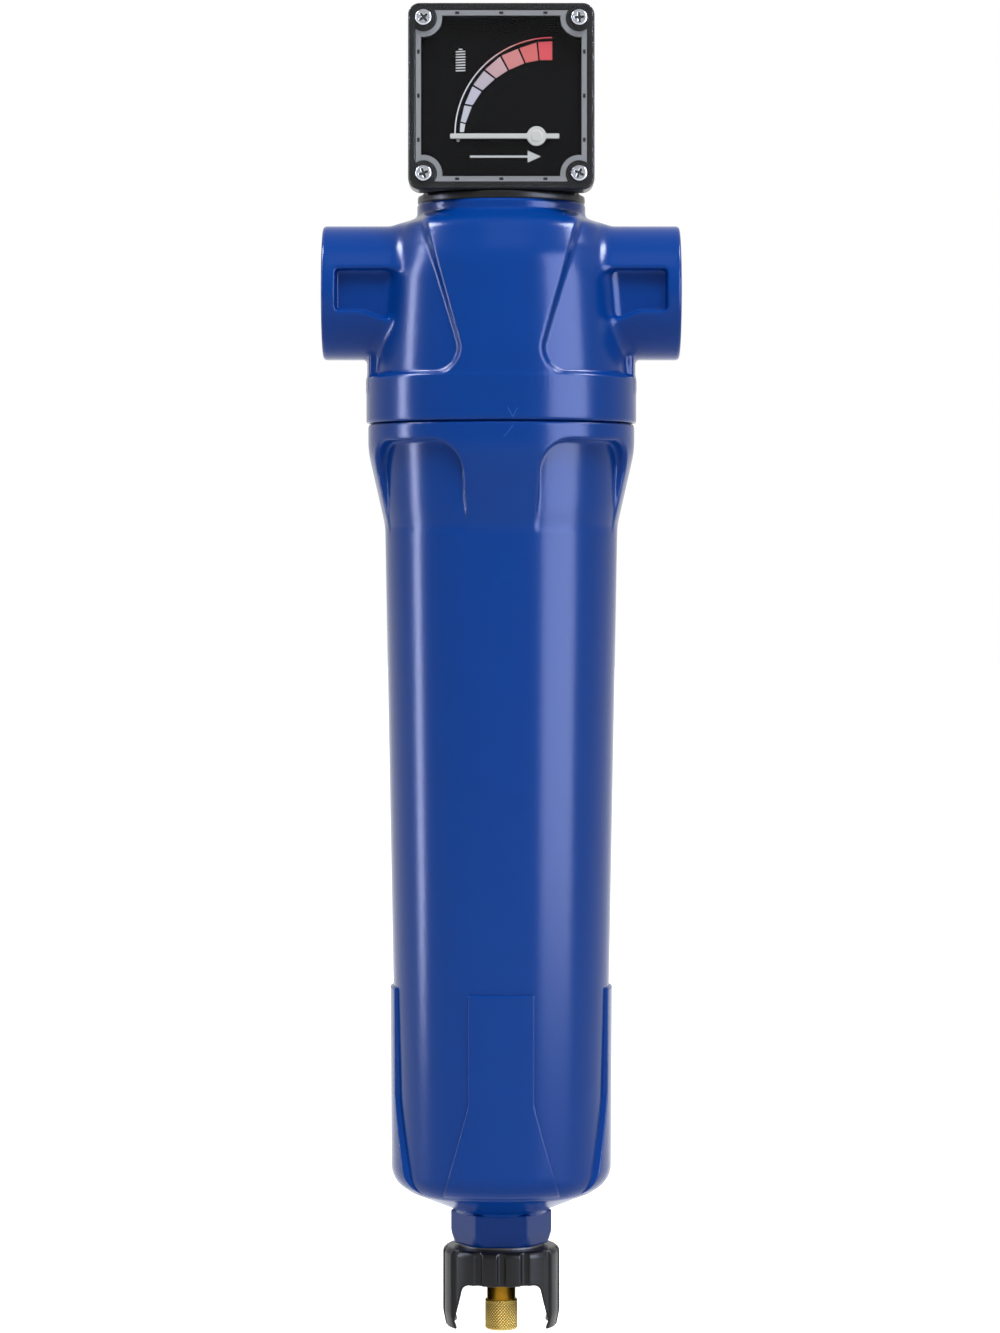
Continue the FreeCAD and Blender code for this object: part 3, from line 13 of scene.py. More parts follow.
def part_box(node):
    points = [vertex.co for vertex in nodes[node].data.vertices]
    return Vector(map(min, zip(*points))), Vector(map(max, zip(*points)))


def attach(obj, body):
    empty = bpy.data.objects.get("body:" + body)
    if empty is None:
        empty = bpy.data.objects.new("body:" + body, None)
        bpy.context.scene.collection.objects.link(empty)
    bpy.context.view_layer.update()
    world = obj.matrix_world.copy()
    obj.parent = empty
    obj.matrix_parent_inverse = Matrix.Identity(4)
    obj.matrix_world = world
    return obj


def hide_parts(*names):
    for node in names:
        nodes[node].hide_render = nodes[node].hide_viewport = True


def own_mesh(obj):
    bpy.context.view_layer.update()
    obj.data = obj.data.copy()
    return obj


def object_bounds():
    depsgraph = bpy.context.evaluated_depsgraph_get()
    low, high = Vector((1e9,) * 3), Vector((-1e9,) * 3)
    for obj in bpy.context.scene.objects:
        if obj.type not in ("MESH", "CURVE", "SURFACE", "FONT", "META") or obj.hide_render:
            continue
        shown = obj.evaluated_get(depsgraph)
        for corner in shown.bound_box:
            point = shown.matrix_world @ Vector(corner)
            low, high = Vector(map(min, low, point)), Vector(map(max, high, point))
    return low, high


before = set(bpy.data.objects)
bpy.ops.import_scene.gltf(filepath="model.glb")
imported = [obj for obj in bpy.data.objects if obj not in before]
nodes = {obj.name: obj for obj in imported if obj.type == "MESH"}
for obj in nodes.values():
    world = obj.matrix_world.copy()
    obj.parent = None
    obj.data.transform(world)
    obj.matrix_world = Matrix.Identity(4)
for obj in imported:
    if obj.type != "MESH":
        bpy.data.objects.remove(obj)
cad_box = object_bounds()

MM = 0.001
AXIS_X = sum(corner.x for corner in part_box("filter_bowl")) / 2 / MM

# Sizes of the main forms, in millimetres

HEAD_TOP = 34.5
SEAM = -51.4
RING_RADIUS = 53.04
RING_TOP = -33.2
BOSS_RADIUS = 26.3
PORT_FACE = 70.0
SHOULDER = -51.7
NECK_TOP = -36.7
BARREL_RADIUS = 45.65
DOME_START = -350.5
BARREL_FOOT_RADIUS = 41.0
HEX_TOP = -360.2
HEX_FOOT = -373.0
COLLAR_TOP = -374.0
CLAW_FOOT = -405.4
GAUGE_LEVEL = 74.1
GAUGE_FRONT = -35.0

# Outlines and fields


def rounded(corners, steps=8):
    """A closed outline: each corner is (u, v) or (u, v, radius of its arc)."""
    points = []
    count = len(corners)
    for k, corner in enumerate(corners):
        here = np.array(corner[:2], float)
        if len(corner) < 3:
            points.append(here)
            continue
        before = np.array(corners[k - 1][:2], float) - here
        after = np.array(corners[(k + 1) % count][:2], float) - here
        before /= np.linalg.norm(before)
        after /= np.linalg.norm(after)
        half = math.acos(np.clip(before @ after, -1, 1)) / 2
        middle = (before + after) / np.linalg.norm(before + after)
        centre = here + middle * corner[2] / math.sin(half)
        start = here + before * corner[2] / math.tan(half) - centre
        end = here + after * corner[2] / math.tan(half) - centre
        for part in np.linspace(0, 1, steps + 1):
            spoke = start * (1 - part) + end * part
            points.append(centre + spoke * corner[2] / np.linalg.norm(spoke))
    return points


def polygon(points):
    """Signed distance to a closed outline, negative inside."""

    def field(u, v):
        shape = np.broadcast_shapes(np.shape(u), np.shape(v))
        nearest = np.full(shape, 1e9)
        side = np.ones(shape)
        for (ax, ay), (bx, by) in zip(points, points[1:] + points[:1]):
            ex, ey = bx - ax, by - ay
            wx, wy = u - ax, v - ay
            part = np.clip((wx * ex + wy * ey) / (ex * ex + ey * ey), 0, 1)
            nearest = np.minimum(nearest, (wx - ex * part) ** 2 + (wy - ey * part) ** 2)
            crossed = ((v < ay) != (v < by)) & ((wx * ey < wy * ex) == (ey > 0))
            side = np.where(crossed, -side, side)
        return side * np.sqrt(nearest)

    return field


def turned(points):
    """The field of an outline (radius, level) turned about the vertical axis, on an open grid."""
    outline = polygon(points)
    step = 0.25

    def field(x, y, z):
        radius = np.hypot(x, y) / step
        table = outline(np.arange(0, radius.max() + 2)[:, None] * step, z.reshape(1, -1))
        low = radius.astype(int)
        part = radius - low
        return table[low[..., 0]] * (1 - part) + table[low[..., 0] + 1] * part

    return field


def joined(a, b, radius):
    """Union with a fillet."""
    fillet = np.hypot(np.maximum(radius - a, 0), np.maximum(radius - b, 0))
    return np.maximum(radius, np.minimum(a, b)) - fillet


def met(a, b, radius):
    """Intersection with a rounded edge."""
    edge = np.hypot(np.maximum(radius + a, 0), np.maximum(radius + b, 0))
    return np.minimum(-radius, np.maximum(a, b)) + edge


def new_object(name, corners, faces):
    """A smooth-shaded mesh from corners in millimetres about the filter's axis."""
    corners = (np.asarray(corners, float) + [AXIS_X, 0, 0]) * MM
    mesh = bpy.data.meshes.new(name)
    mesh.from_pydata(corners.tolist(), [], [list(face) for face in faces])
    mesh.polygons.foreach_set("use_smooth", [True] * len(mesh.polygons))
    mesh.update()
    obj = bpy.data.objects.new(name, mesh)
    bpy.context.scene.collection.objects.link(obj)
    return obj


CELL_CORNERS = [(i, j, k) for i in (0, 1) for j in (0, 1) for k in (0, 1)]
CELL_EDGES = [(a, b) for a in CELL_CORNERS for b in CELL_CORNERS
              if a < b and sum(np.subtract(b, a)) == 1]


def skin(name, field, low, high, step):
    """The mesh of a field's zero surface, with one corner in each grid cell that the surface crosses."""
    grids = [np.arange(a, b + step, step) for a, b in zip(low, high)]
    value = field(*np.ix_(*grids)).astype(np.float32)
    inside = value < 0
    size = [n - 1 for n in inside.shape]
    count = sum(inside[i:size[0] + i, j:size[1] + j, k:size[2] + k].astype(np.int8)
                for i, j, k in CELL_CORNERS)
    cells = np.argwhere((count > 0) & (count < 8))
    index = np.zeros(size, np.int32)
    index[tuple(cells.T)] = np.arange(len(cells))
    total = np.zeros(cells.shape)
    hits = np.zeros(len(cells))
    for a, b in CELL_EDGES:
        first = value[tuple((cells + a).T)]
        second = value[tuple((cells + b).T)]
        crossed = (first < 0) != (second < 0)
        part = np.where(crossed, first / np.where(crossed, first - second, 1), 0)
        total += crossed[:, None] * (np.array(a) + part[:, None] * np.subtract(b, a))
        hits += crossed
    corners = np.array(low) + (cells + total / hits[:, None]) * step
    faces = []
    for axis in range(3):
        order = [axis, (axis + 1) % 3, (axis + 2) % 3]
        side = inside.transpose(order)
        number = index.transpose(order)
        i, j, k = np.nonzero(side[:-1, 1:-1, 1:-1] != side[1:, 1:-1, 1:-1])
        quads = np.stack([number[i, j, k], number[i, j + 1, k],
                          number[i, j + 1, k + 1], number[i, j, k + 1]], 1)
        backward = ~side[i, j + 1, k + 1]
        quads[backward] = quads[backward][:, ::-1]
        faces.append(quads)
    return new_object(name, corners, np.concatenate(faces).tolist())


# Materials


def srgb(red, green, blue):
    """A linear colour from 8-bit display values."""
    channels = [c / 255 for c in (red, green, blue)]
    return [c / 12.92 if c < 0.04045 else ((c + 0.055) / 1.055) ** 2.4 for c in channels] + [1]


def material(name, colour, roughness, metallic=0.0, **inputs):
    mat = bpy.data.materials.new(name)
    mat.use_nodes = True
    shader = mat.node_tree.nodes["Principled BSDF"]
    shader.inputs["Base Color"].default_value = colour
    shader.inputs["Roughness"].default_value = roughness
    shader.inputs["Metallic"].default_value = metallic
    for key, value in inputs.items():
        shader.inputs[key.replace("_", " ")].default_value = value
    return mat


def textured(mat, scale, bump, spread, detail=3.0, stretch=(1, 1, 1)):
    """Gives a material a fine noise in height and a faint one in colour; scale is in lumps per metre."""
    tree = mat.node_tree
    shader = tree.nodes["Principled BSDF"]
    place = tree.nodes.new("ShaderNodeTexCoord")
    mapping = tree.nodes.new("ShaderNodeMapping")
    mapping.inputs["Scale"].default_value = stretch
    noise = tree.nodes.new("ShaderNodeTexNoise")
    noise.inputs["Scale"].default_value = scale
    noise.inputs["Detail"].default_value = detail
    lumps = tree.nodes.new("ShaderNodeBump")
    lumps.inputs["Strength"].default_value = 1.0
    lumps.inputs["Distance"].default_value = bump
    tree.links.new(place.outputs["Object"], mapping.inputs["Vector"])
    tree.links.new(mapping.outputs["Vector"], noise.inputs["Vector"])
    tree.links.new(noise.outputs["Fac"], lumps.inputs["Height"])
    tree.links.new(lumps.outputs["Normal"], shader.inputs["Normal"])
    broad = tree.nodes.new("ShaderNodeTexNoise")
    broad.inputs["Scale"].default_value = scale / 12
    broad.inputs["Detail"].default_value = 2.0
    tree.links.new(mapping.outputs["Vector"], broad.inputs["Vector"])
    ramp = tree.nodes.new("ShaderNodeMix")
    ramp.data_type = "RGBA"
    colour = list(shader.inputs["Base Color"].default_value)
    ramp.inputs["A"].default_value = [c * (1 - spread) for c in colour[:3]] + [1]
    ramp.inputs["B"].default_value = [min(1, c * (1 + spread)) for c in colour[:3]] + [1]
    tree.links.new(broad.outputs["Fac"], ramp.inputs["Factor"])
    tree.links.new(ramp.outputs["Result"], shader.inputs["Base Color"])
    return mat


def ray_is(tree, *kinds):
    """One for a ray of any of these kinds, otherwise zero."""
    path = tree.nodes.new("ShaderNodeLightPath")
    socket = path.outputs["Is %s Ray" % kinds[0]]
    for kind in kinds[1:]:
        either = tree.nodes.new("ShaderNodeMath")
        either.operation = "MAXIMUM"
        tree.links.new(socket, either.inputs[0])
        tree.links.new(path.outputs["Is %s Ray" % kind], either.inputs[1])
        socket = either.outputs[0]
    return socket


SEEN = ("Camera", "Glossy", "Transmission")


def finish(name, colour, roughness, metallic, lumps, bump, spread, specular=None,
           stretch=(1, 1, 1)):
    """A material with its fine texture; colour as 8-bit display values, bump in metres."""
    inputs = {} if specular is None else {"Specular_IOR_Level": specular}
    mat = material(name, srgb(*colour), roughness, metallic, **inputs)
    return textured(mat, lumps, bump, spread, stretch=stretch)


PAINT, METAL = 0.0, 1.0
BLUE = finish("blue_coating", (3, 56, 134), 0.2, PAINT, 900, 2e-5, 0.04, 0.1)
BARE = finish("bare_aluminium", (150, 152, 156), 0.4, METAL, 1500, 1e-5, 0.05)
BLACK = finish("black_plastic", (31, 31, 32), 0.3, PAINT, 2600, 3e-6, 0.08, 0.12)
CAP = finish("element_cap", (58, 62, 68), 0.35, PAINT, 1800, 2e-5, 0.05)
DIAL = finish("dial_print", (14, 14, 16), 0.8, PAINT, 3000, 2e-6, 0.06, 0.0)
CORD = finish("pale_cord", (122, 124, 127), 0.5, PAINT, 2200, 6e-6, 0.05)
WHITE = finish("white_paint", (184, 185, 182), 0.5, PAINT, 2500, 4e-6, 0.03)
RUBBER = finish("seal_rubber", (30, 30, 31), 0.6, PAINT, 2400, 3e-5, 0.08)
FIBRE = finish("filter_fibre", (226, 224, 214), 0.9, PAINT, 700, 3e-4, 0.06, stretch=(1, 1, 0.2))
FOAM = finish("drain_foam", (205, 158, 70), 0.9, PAINT, 900, 5e-4, 0.12)
PALE_PLASTIC = finish("float_plastic", (214, 214, 206), 0.5, PAINT, 1500, 3e-5, 0.04)
ANODISED = finish("anodised", (58, 58, 62), 0.38, METAL, 1600, 1e-5, 0.06)
STEEL = finish("screw_steel", (160, 162, 166), 0.26, METAL, 1800, 4e-6, 0.07)
# Darker steel that paints shade: in the cover screws' cross recesses and on the washer in the gap under the
# hexagon.
SHADED_STEEL = finish("steel_painted_shade", (70, 70, 72), 0.45, METAL, 1500, 1e-5, 0.06)
STAINLESS = finish("stainless", (176, 177, 178), 0.3, METAL, 1300, 1e-5, 0.06, stretch=(1, 1, 10))
MAGNET = finish("magnet_steel", (110, 111, 116), 0.3, METAL, 1500, 1e-5, 0.06)
BRASS = finish("turned_brass", (186, 160, 88), 0.26, METAL, 1400, 1e-5, 0.06, stretch=(1, 1, 12))
# Darker brass that paints shade in the knurl's grooves.
SHADED_BRASS = finish("brass_groove_painted_shade", (92, 76, 34), 0.45, METAL, 1400, 1e-5, 0.08)
# A lighter blue than the casting, for the cast alignment marks.
MARK = finish("lighter_mark_blue", (30, 76, 156), 0.4, PAINT, 900, 2e-5, 0.04, 0.1)


def clear_plastic():
    """Clear plastic that lets lamp light and soft light through to what lies behind it."""
    mat = material("clear_plastic", srgb(236, 240, 243), 0.04, Transmission_Weight=1.0, IOR=1.2,
                   Specular_IOR_Level=0.06)
    textured(mat, 500, 1e-7, 0.01)
    tree = mat.node_tree
    through = tree.nodes.new("ShaderNodeBsdfTransparent")
    choice = tree.nodes.new("ShaderNodeMixShader")
    tree.links.new(ray_is(tree, "Shadow", "Diffuse", "Glossy"), choice.inputs["Fac"])
    tree.links.new(tree.nodes["Principled BSDF"].outputs["BSDF"], choice.inputs[1])
    tree.links.new(through.outputs["BSDF"], choice.inputs[2])
    tree.links.new(choice.outputs["Shader"], tree.nodes["Material Output"].inputs["Surface"])
    return mat


CLEAR = clear_plastic()


def paint(obj, mat):
    obj.data.materials.clear()
    obj.data.materials.append(mat)
    return obj


def dress(obj, mat, body, replaced=()):
    """Material, body and CAD nodes of a finished piece."""
    paint(obj, mat)
    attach(obj, body)
    if replaced:
        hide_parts(*replaced)
    return obj


# Head

SIDE_PROFILE = rounded([
    (0, HEAD_TOP), (33, HEAD_TOP, 0.8), (33, 29.6, 2.5), (41.2, 25.8, 6), (44.5, 17, 14), (47.2, 7, 40),
    (51.2, -45), (0, -45)])
RING_PROFILE = rounded([(0, RING_TOP), (RING_RADIUS, RING_TOP, 1.0), (RING_RADIUS, SEAM, 0.9), (0, SEAM)])
PANEL_PROFILE = rounded([
    (0, HEAD_TOP), (33, HEAD_TOP, 0.8), (33, 30.6, 2.0), (43.4, 26.6, 8), (49.0, 12, 30),
    (RING_RADIUS - 0.3, -25, 60), (RING_RADIUS - 0.3, -40), (0, -40)])
PANEL_WINDOW = rounded([
    (-60, 40), (34, 40), (32.4, 34.5), (13.0, RING_TOP, 9.5), (60, RING_TOP), (60, -40), (-60, -40)])
POCKET = rounded([(64.3, 8, 1.5), (64.3, -8, 1.5), (54, -8, 3), (36, -15), (36, 8)])
POCKET_FLOOR = 19.5
RIB_HALF = 12.0
RIB_TOP = -20.0
RIB_FOOT = -40.0
RIB_SINK = 0.3
PORT_BORE = 16.9
PORT_BORE_END = 49.8
PASSAGE_RADIUS = 14.0
PASSAGE_END = 10.0
SOCKET_RADIUS = 46.9
SOCKET_TOP = -35.6


def head_field(x, y, z):
    across, deep = np.abs(x), np.abs(y)
    radius, pipe = np.hypot(x, y), np.hypot(y, z)
    side = turned(SIDE_PROFILE)(x, y, z)
    panel = met(turned(PANEL_PROFILE)(x, y, z), polygon(PANEL_WINDOW)(across, z), 1.6)
    boss = met(pipe - BOSS_RADIUS, across - PORT_FACE, 1.4)
    pocket = met(polygon(POCKET)(across, z), POCKET_FLOOR - deep, 1.0)
    boss = met(boss, -pocket, 1.2)
    rib = met(met(radius - RING_RADIUS + RIB_SINK, deep - RIB_HALF, 1.5),
              np.maximum(z - RIB_TOP, RIB_FOOT - z), 1.5)
    body = joined(joined(joined(side, boss, 3.5), panel, 1.6), rib, 1.5)
    body = joined(body, turned(RING_PROFILE)(x, y, z), 0.3)
    bore = met(pipe - PORT_BORE, PORT_BORE_END - across, 0.3)
    passage = met(pipe - PASSAGE_RADIUS, PASSAGE_END - across, 0.5)
    socket = met(radius - SOCKET_RADIUS, z - SOCKET_TOP, 0.5)
    return met(met(body, -np.minimum(bore, passage), 0.8), -socket, 0.5)


head = skin("head_casting", head_field, (-72, -55, -53), (72, 55, 36.5), 0.7)
dress(head, BLUE, "head", ["filter_head"])

# Bowl

BOWL_BORE = 41.65
NECK_RADIUS = 46.5
NECK_GROOVE = 44.3
SHOULDER_RADIUS = 52.3
THROAT_RADIUS = 18.3
BARREL_TOP = -91.4
BOWL_PROFILE = rounded([
    (BOWL_BORE, NECK_TOP), (NECK_RADIUS, NECK_TOP, 0.5), (NECK_RADIUS, NECK_TOP - 2),
    (NECK_GROOVE, NECK_TOP - 2), (NECK_GROOVE, NECK_TOP - 5), (NECK_RADIUS, NECK_TOP - 5),
    (NECK_RADIUS, NECK_TOP - 5.6), (45.2, NECK_TOP - 5.6), (45.2, SHOULDER),
    (SHOULDER_RADIUS, SHOULDER, 0.9), (SHOULDER_RADIUS, -62, 36), (BARREL_RADIUS, BARREL_TOP, 28),
    (BARREL_FOOT_RADIUS, DOME_START, 9), (THROAT_RADIUS, -359.7, 1.5), (THROAT_RADIUS, HEX_TOP - 1),
    (10.4, HEX_TOP - 1), (10.4, -354), (18.6, -354), (37, -346.6, 6), (BOWL_BORE, BARREL_TOP)])
RECESS_PROFILE = [(47.9, -50), (58, -50), (58, -93), (45.75, -93)]
RECESS_RADIUS = 49.0
RECESS_HALF = 23.5
RECESS_TOP = -58.8
RECESS_CORNER = 12.0
PAD_TOP = -272.0
PAD_FOOT = -354.0
PADS = 4
PAD_PROFILE = rounded([(39, PAD_TOP), (43.6, PAD_TOP, 0.5), (43.2, -349.6, 10), (30, PAD_FOOT), (39, -345)])
PAD_OUTLINE = rounded([
    (-30, PAD_TOP + 1), (12.8, PAD_TOP + 1), (12.8, -315, 12), (22.6, DOME_START), (22.6, -362),
    (-30, -362)])
HEX_PROFILE = [(10.3, HEX_TOP), (20.1, HEX_TOP), (20.1, HEX_FOOT + 5), (18.3, HEX_FOOT), (10.3, HEX_FOOT)]
HEX_FLATS = 34.5


def bowl_field(x, y, z):
    shell = turned(BOWL_PROFILE)(x, y, z)
    arc = np.abs(np.arctan2(np.abs(y), np.abs(x)) - math.pi / 4) * RECESS_RADIUS
    gate = met(arc - RECESS_HALF, z - RECESS_TOP, RECESS_CORNER)
    recess = met(turned(RECESS_PROFILE)(x, y, z), gate, 0.6)
    return met(shell, -recess, 1.2)


def pad_field(x, y, z):
    return met(turned(PAD_PROFILE)(x, y, z), polygon(PAD_OUTLINE)(np.abs(x), z), 0.25)


def hexagon_field(x, y, z):
    slant = np.maximum(np.abs(x * math.cos(math.pi / 6) + y / 2), np.abs(x * math.cos(math.pi / 6) - y / 2))
    sides = np.maximum(np.abs(y), slant) - HEX_FLATS / 2
    return met(turned(HEX_PROFILE)(x, y, z), sides, 0.5)


bowl = skin("bowl_shell", bowl_field, (-54, -54, -363), (54, 54, NECK_TOP + 1), 0.8)
dress(bowl, BLUE, "bowl", ["filter_bowl"])
pad = skin("bowl_pad", pad_field, (-23.5, -44.5, PAD_FOOT - 1), (23.5, -28, PAD_TOP + 1), 0.4)
dress(pad, BLUE, "bowl", ["filter_bowl"])
axis = Matrix.Translation(Vector((AXIS_X, 0, 0)) * MM)
for k in range(1, PADS):
    side = bpy.data.objects.new("bowl_pad_%d" % k, pad.data.copy())
    bpy.context.scene.collection.objects.link(side)
    side.data.transform(axis @ Matrix.Rotation(k * 2 * math.pi / PADS, 4, "Z") @ axis.inverted())
    dress(side, BLUE, "bowl", ["filter_bowl"])
boss = skin("bowl_hexagon", hexagon_field, (-21, -21, HEX_FOOT - 1), (21, 21, HEX_TOP + 1), 0.4)
dress(boss, BLUE, "bowl", ["filter_bowl"])

# Threads: a ring whose inner or outer wall carries the turns


def lathe(name, profile, segments, ripple, place=None):
    """A ring from a closed outline of (radius, level, share of the ripple that adds to the radius)."""
    angle = np.arange(segments) * 2 * math.pi / segments
    corners = []
    for radius, height, share in profile:
        wide = radius + share * ripple(angle, height)
        corners.append(np.stack([wide * np.cos(angle), wide * np.sin(angle), np.full(segments, height)], 1))
    corners = np.concatenate(corners)
    if place is not None:
        corners = place(corners)
    count = len(profile)
    faces = [(a * segments + k, a * segments + (k + 1) % segments,
              (a + 1) % count * segments + (k + 1) % segments, (a + 1) % count * segments + k)
             for a in range(count) for k in range(segments)]
    obj = new_object(name, corners, faces)
    outward(obj)
    return obj


def outward(obj):
    """Turns all faces of a closed mesh outward."""
    mesh = bmesh.new()
    mesh.from_mesh(obj.data)
    bmesh.ops.recalc_face_normals(mesh, faces=mesh.faces)
    mesh.to_mesh(obj.data)
    mesh.free()


def wave(turns):
    """A triangle wave from 0 to 1 with a period of one."""
    return 2 * np.abs(turns - np.floor(turns + 0.5))


PORT_PITCH = 2.309
PORT_THREAD = (50.2, 69.2)
PORT_THREAD_HEIGHT = 1.4
PORT_MINOR_RADIUS = 15.25
PORT_RING_RADIUS = 17.6
PORT_LEAD_IN = 1.2
BOWL_PITCH = 3.0
BOWL_THREAD = (-51.2, -42.8)
BOWL_THREAD_HEIGHT = 0.95
BOWL_ROOT_RADIUS = 45.5
BOWL_THREAD_BACK = 44.4


def port_ripple(angle, height):
    return PORT_THREAD_HEIGHT * wave(height / PORT_PITCH - angle / (2 * math.pi))


def bowl_ripple(angle, height):
    return BOWL_THREAD_HEIGHT * wave(height / BOWL_PITCH + angle / (2 * math.pi))


port_levels = np.arange(PORT_THREAD[0], PORT_THREAD[1], PORT_PITCH / 10)
port_profile = [(PORT_MINOR_RADIUS + max(0, h - PORT_THREAD[1] + PORT_LEAD_IN), h, 0.9)
                for h in port_levels]
port_profile += [(PORT_RING_RADIUS, port_levels[-1], 0), (PORT_RING_RADIUS, port_levels[0], 0)]
for name, sign in (("inlet_thread", -1), ("outlet_thread", 1)):
    thread = lathe(name, port_profile, 120, port_ripple,
                   lambda c, sign=sign: np.stack([sign * c[:, 2], c[:, 1], c[:, 0]], 1))
    dress(thread, BARE, "head", ["filter_head"])

neck_levels = np.arange(BOWL_THREAD[0], BOWL_THREAD[1], BOWL_PITCH / 12)
neck_profile = [(BOWL_ROOT_RADIUS, h, 1.0) for h in neck_levels]
neck_profile += [(BOWL_THREAD_BACK, neck_levels[-1], 0), (BOWL_THREAD_BACK, neck_levels[0], 0)]
neck = lathe("bowl_neck_thread", neck_profile, 240, bowl_ripple)
dress(neck, BARE, "bowl", ["filter_bowl"])

# Cast alignment marks at the seam: a V on the ring and a stroke on the bowl


def bar(name, ends, width, reach, depth):
    """A thin raised bar on a round wall, from one (x, level) point to the next."""
    corners = []
    (ax, az), (bx, bz) = ends
    length = math.hypot(bx - ax, bz - az)
    ux, uz = (bx - ax) / length, (bz - az) / length
    for along, across in ((0, -1), (0, 1), (length, 1), (length, -1)):
        x = ax + ux * along - uz * across * width / 2
        z = az + uz * along + ux * across * width / 2
        for out in (reach, reach - depth):
            corners.append((x, -math.sqrt(out * out - x * x), z))
    faces = [(0, 2, 4, 6), (7, 5, 3, 1), (0, 1, 3, 2), (2, 3, 5, 4), (4, 5, 7, 6), (6, 7, 1, 0)]
    obj = new_object(name, corners, faces)
    outward(obj)
    obj.data.polygons.foreach_set("use_smooth", [False] * len(faces))
    return obj


MARK_WIDTH = 0.4
MARK_DEPTH = 1.0
MARK_PROUD = 0.05

for name, ends, body, reach in (
        ("ring_mark_left", ((2.4, -46.6), (4.4, -50.4)), "head", RING_RADIUS + MARK_PROUD),
        ("ring_mark_right", ((6.1, -46.9), (4.4, -50.4)), "head", RING_RADIUS + MARK_PROUD),
        ("bowl_mark", ((4.5, -53.6), (1.0, -58.0)), "bowl", SHOULDER_RADIUS + MARK_PROUD)):
    node = "filter_head" if body == "head" else "filter_bowl"
    dress(bar(name, ends, MARK_WIDTH, reach, MARK_DEPTH), MARK, body, [node])

# Gauge


def box_field(u, v, half_u, half_v, corner):
    """Signed distance to a rectangle with round corners."""
    du, dv = np.abs(u) - half_u + corner, np.abs(v) - half_v + corner
    return np.hypot(np.maximum(du, 0), np.maximum(dv, 0)) + np.minimum(np.maximum(du, dv), 0) - corner


SCREW = 30.0
CASE_HALF = 36.0
CASE_FRONT = -32.5
CASE_BACK = -14.05
COVER_HALF = 35.6
SCREW_FACE = -36.2
CROSS_HALF = 0.42
CROSS_REACH = 1.85
CROSS_FLOOR = -34.9
# Faces of a screw between these depths and within this circle belong to its cross recess, which is painted
# with shade.
CROSS_TOP = -35.9
CROSS_BOTTOM = -34.5
CROSS_CIRCLE = 2.2
CROSS_TURNS = (20, 65, 40, 5)


def notched(u, v, half, notch):
    """A square with a round notch at each cover screw."""
    corner = np.hypot(np.abs(u) - SCREW, np.abs(v) - SCREW)
    return met(np.maximum(np.abs(u), np.abs(v)) - half, notch - corner, 0.8)


def between(y, front, back):
    return np.maximum(front - y, y - back)


def housing_field(x, y, z):
    up = z - GAUGE_LEVEL
    body = met(box_field(x, up, CASE_HALF, CASE_HALF, 4.5), between(y, CASE_FRONT, CASE_BACK), 1.0)
    window = np.maximum(notched(x, up, 31, 7.2), between(y, -34, -26.2))
    seat = np.maximum(notched(x, up, 33, 5.2), between(y, -34, -31))
    cavity = np.maximum(box_field(x, up, 28, 28, 5), between(y, -27, -17))
    holes = np.maximum(np.hypot(np.abs(x) - SCREW, np.abs(up) - SCREW) - 1.55, between(y, -34, -22))
    return met(body, -np.minimum(np.minimum(window, seat), np.minimum(cavity, holes)), 0.3)


def cover_field(x, y, z):
    up = z - GAUGE_LEVEL
    plate = met(box_field(x, up, COVER_HALF, COVER_HALF, 4.1), between(y, GAUGE_FRONT, -32.55), 0.6)
    pane = np.maximum(notched(x, up, 30.7, 7.5), between(y, -33.5, -31.6))
    corner = np.hypot(np.abs(x) - SCREW, np.abs(up) - SCREW)
    holes = np.maximum(corner - 1.6, between(y, -36, -31))
    seats = np.maximum(corner - 3.35, between(y, -36, -34.15))
    return met(np.minimum(plate, pane), -np.minimum(holes, seats), 0.25)


def screw_field(turn):
    """A cover screw on the origin's own axis, its cross recess turned by an angle."""
    cos, sin = math.cos(turn), math.sin(turn)

    def field(x, y, z):
        radius = np.hypot(x, z)
        head = met(radius - 3.1, between(y, SCREW_FACE, -34.2), 0.6)
        shank = met(radius - 1.5, between(y, -35, -24.2), 0.4)
        u, v = np.abs(x * cos + z * sin), np.abs(z * cos - x * sin)
        cross = np.minimum(np.maximum(u - CROSS_HALF, v - CROSS_REACH),
                           np.maximum(v - CROSS_HALF, u - CROSS_REACH))
        return met(np.minimum(head, shank), -np.maximum(cross, y - CROSS_FLOOR), 0.15)

    return field


housing = skin("gauge_case", housing_field, (-37, -34, 37), (37, -13, 111.4), 0.5)
dress(housing, BLACK, "head", ["gauge_housing"])
cover = skin("gauge_window", cover_field, (-36.4, -36, 37.6), (36.4, -31, 110.6), 0.4)
dress(cover, CLEAR, "head", ["gauge_cover"])
for k, (side, height) in enumerate(((-1, -1), (1, -1), (-1, 1), (1, 1))):
    turn = math.radians(CROSS_TURNS[k])
    screw = skin("cover_screw_%d" % k, screw_field(turn), (-4, -37, -4), (4, -23.6, 4), 0.2)
    screw.data.transform(Matrix.Translation(Vector((side * SCREW, 0, GAUGE_LEVEL + height * SCREW)) * MM))
    dress(screw, STEEL, "head", ["gauge_cover_screws"])
    # The cross recess takes the darker steel as painted shade.
    screw.data.materials.append(SHADED_STEEL)
    for face in screw.data.polygons:
        x, y, z = (c / MM for c in face.center)
        away = math.hypot(x - AXIS_X - side * SCREW, z - GAUGE_LEVEL - height * SCREW)
        if CROSS_TOP < y < CROSS_BOTTOM and away < CROSS_CIRCLE:
            face.material_index = 1

BASE_RADIUS = 32.85
BASE_TOP = 38.0
BLOCK_MIDDLE = -2.0
BLOCK_TOP = 90.0


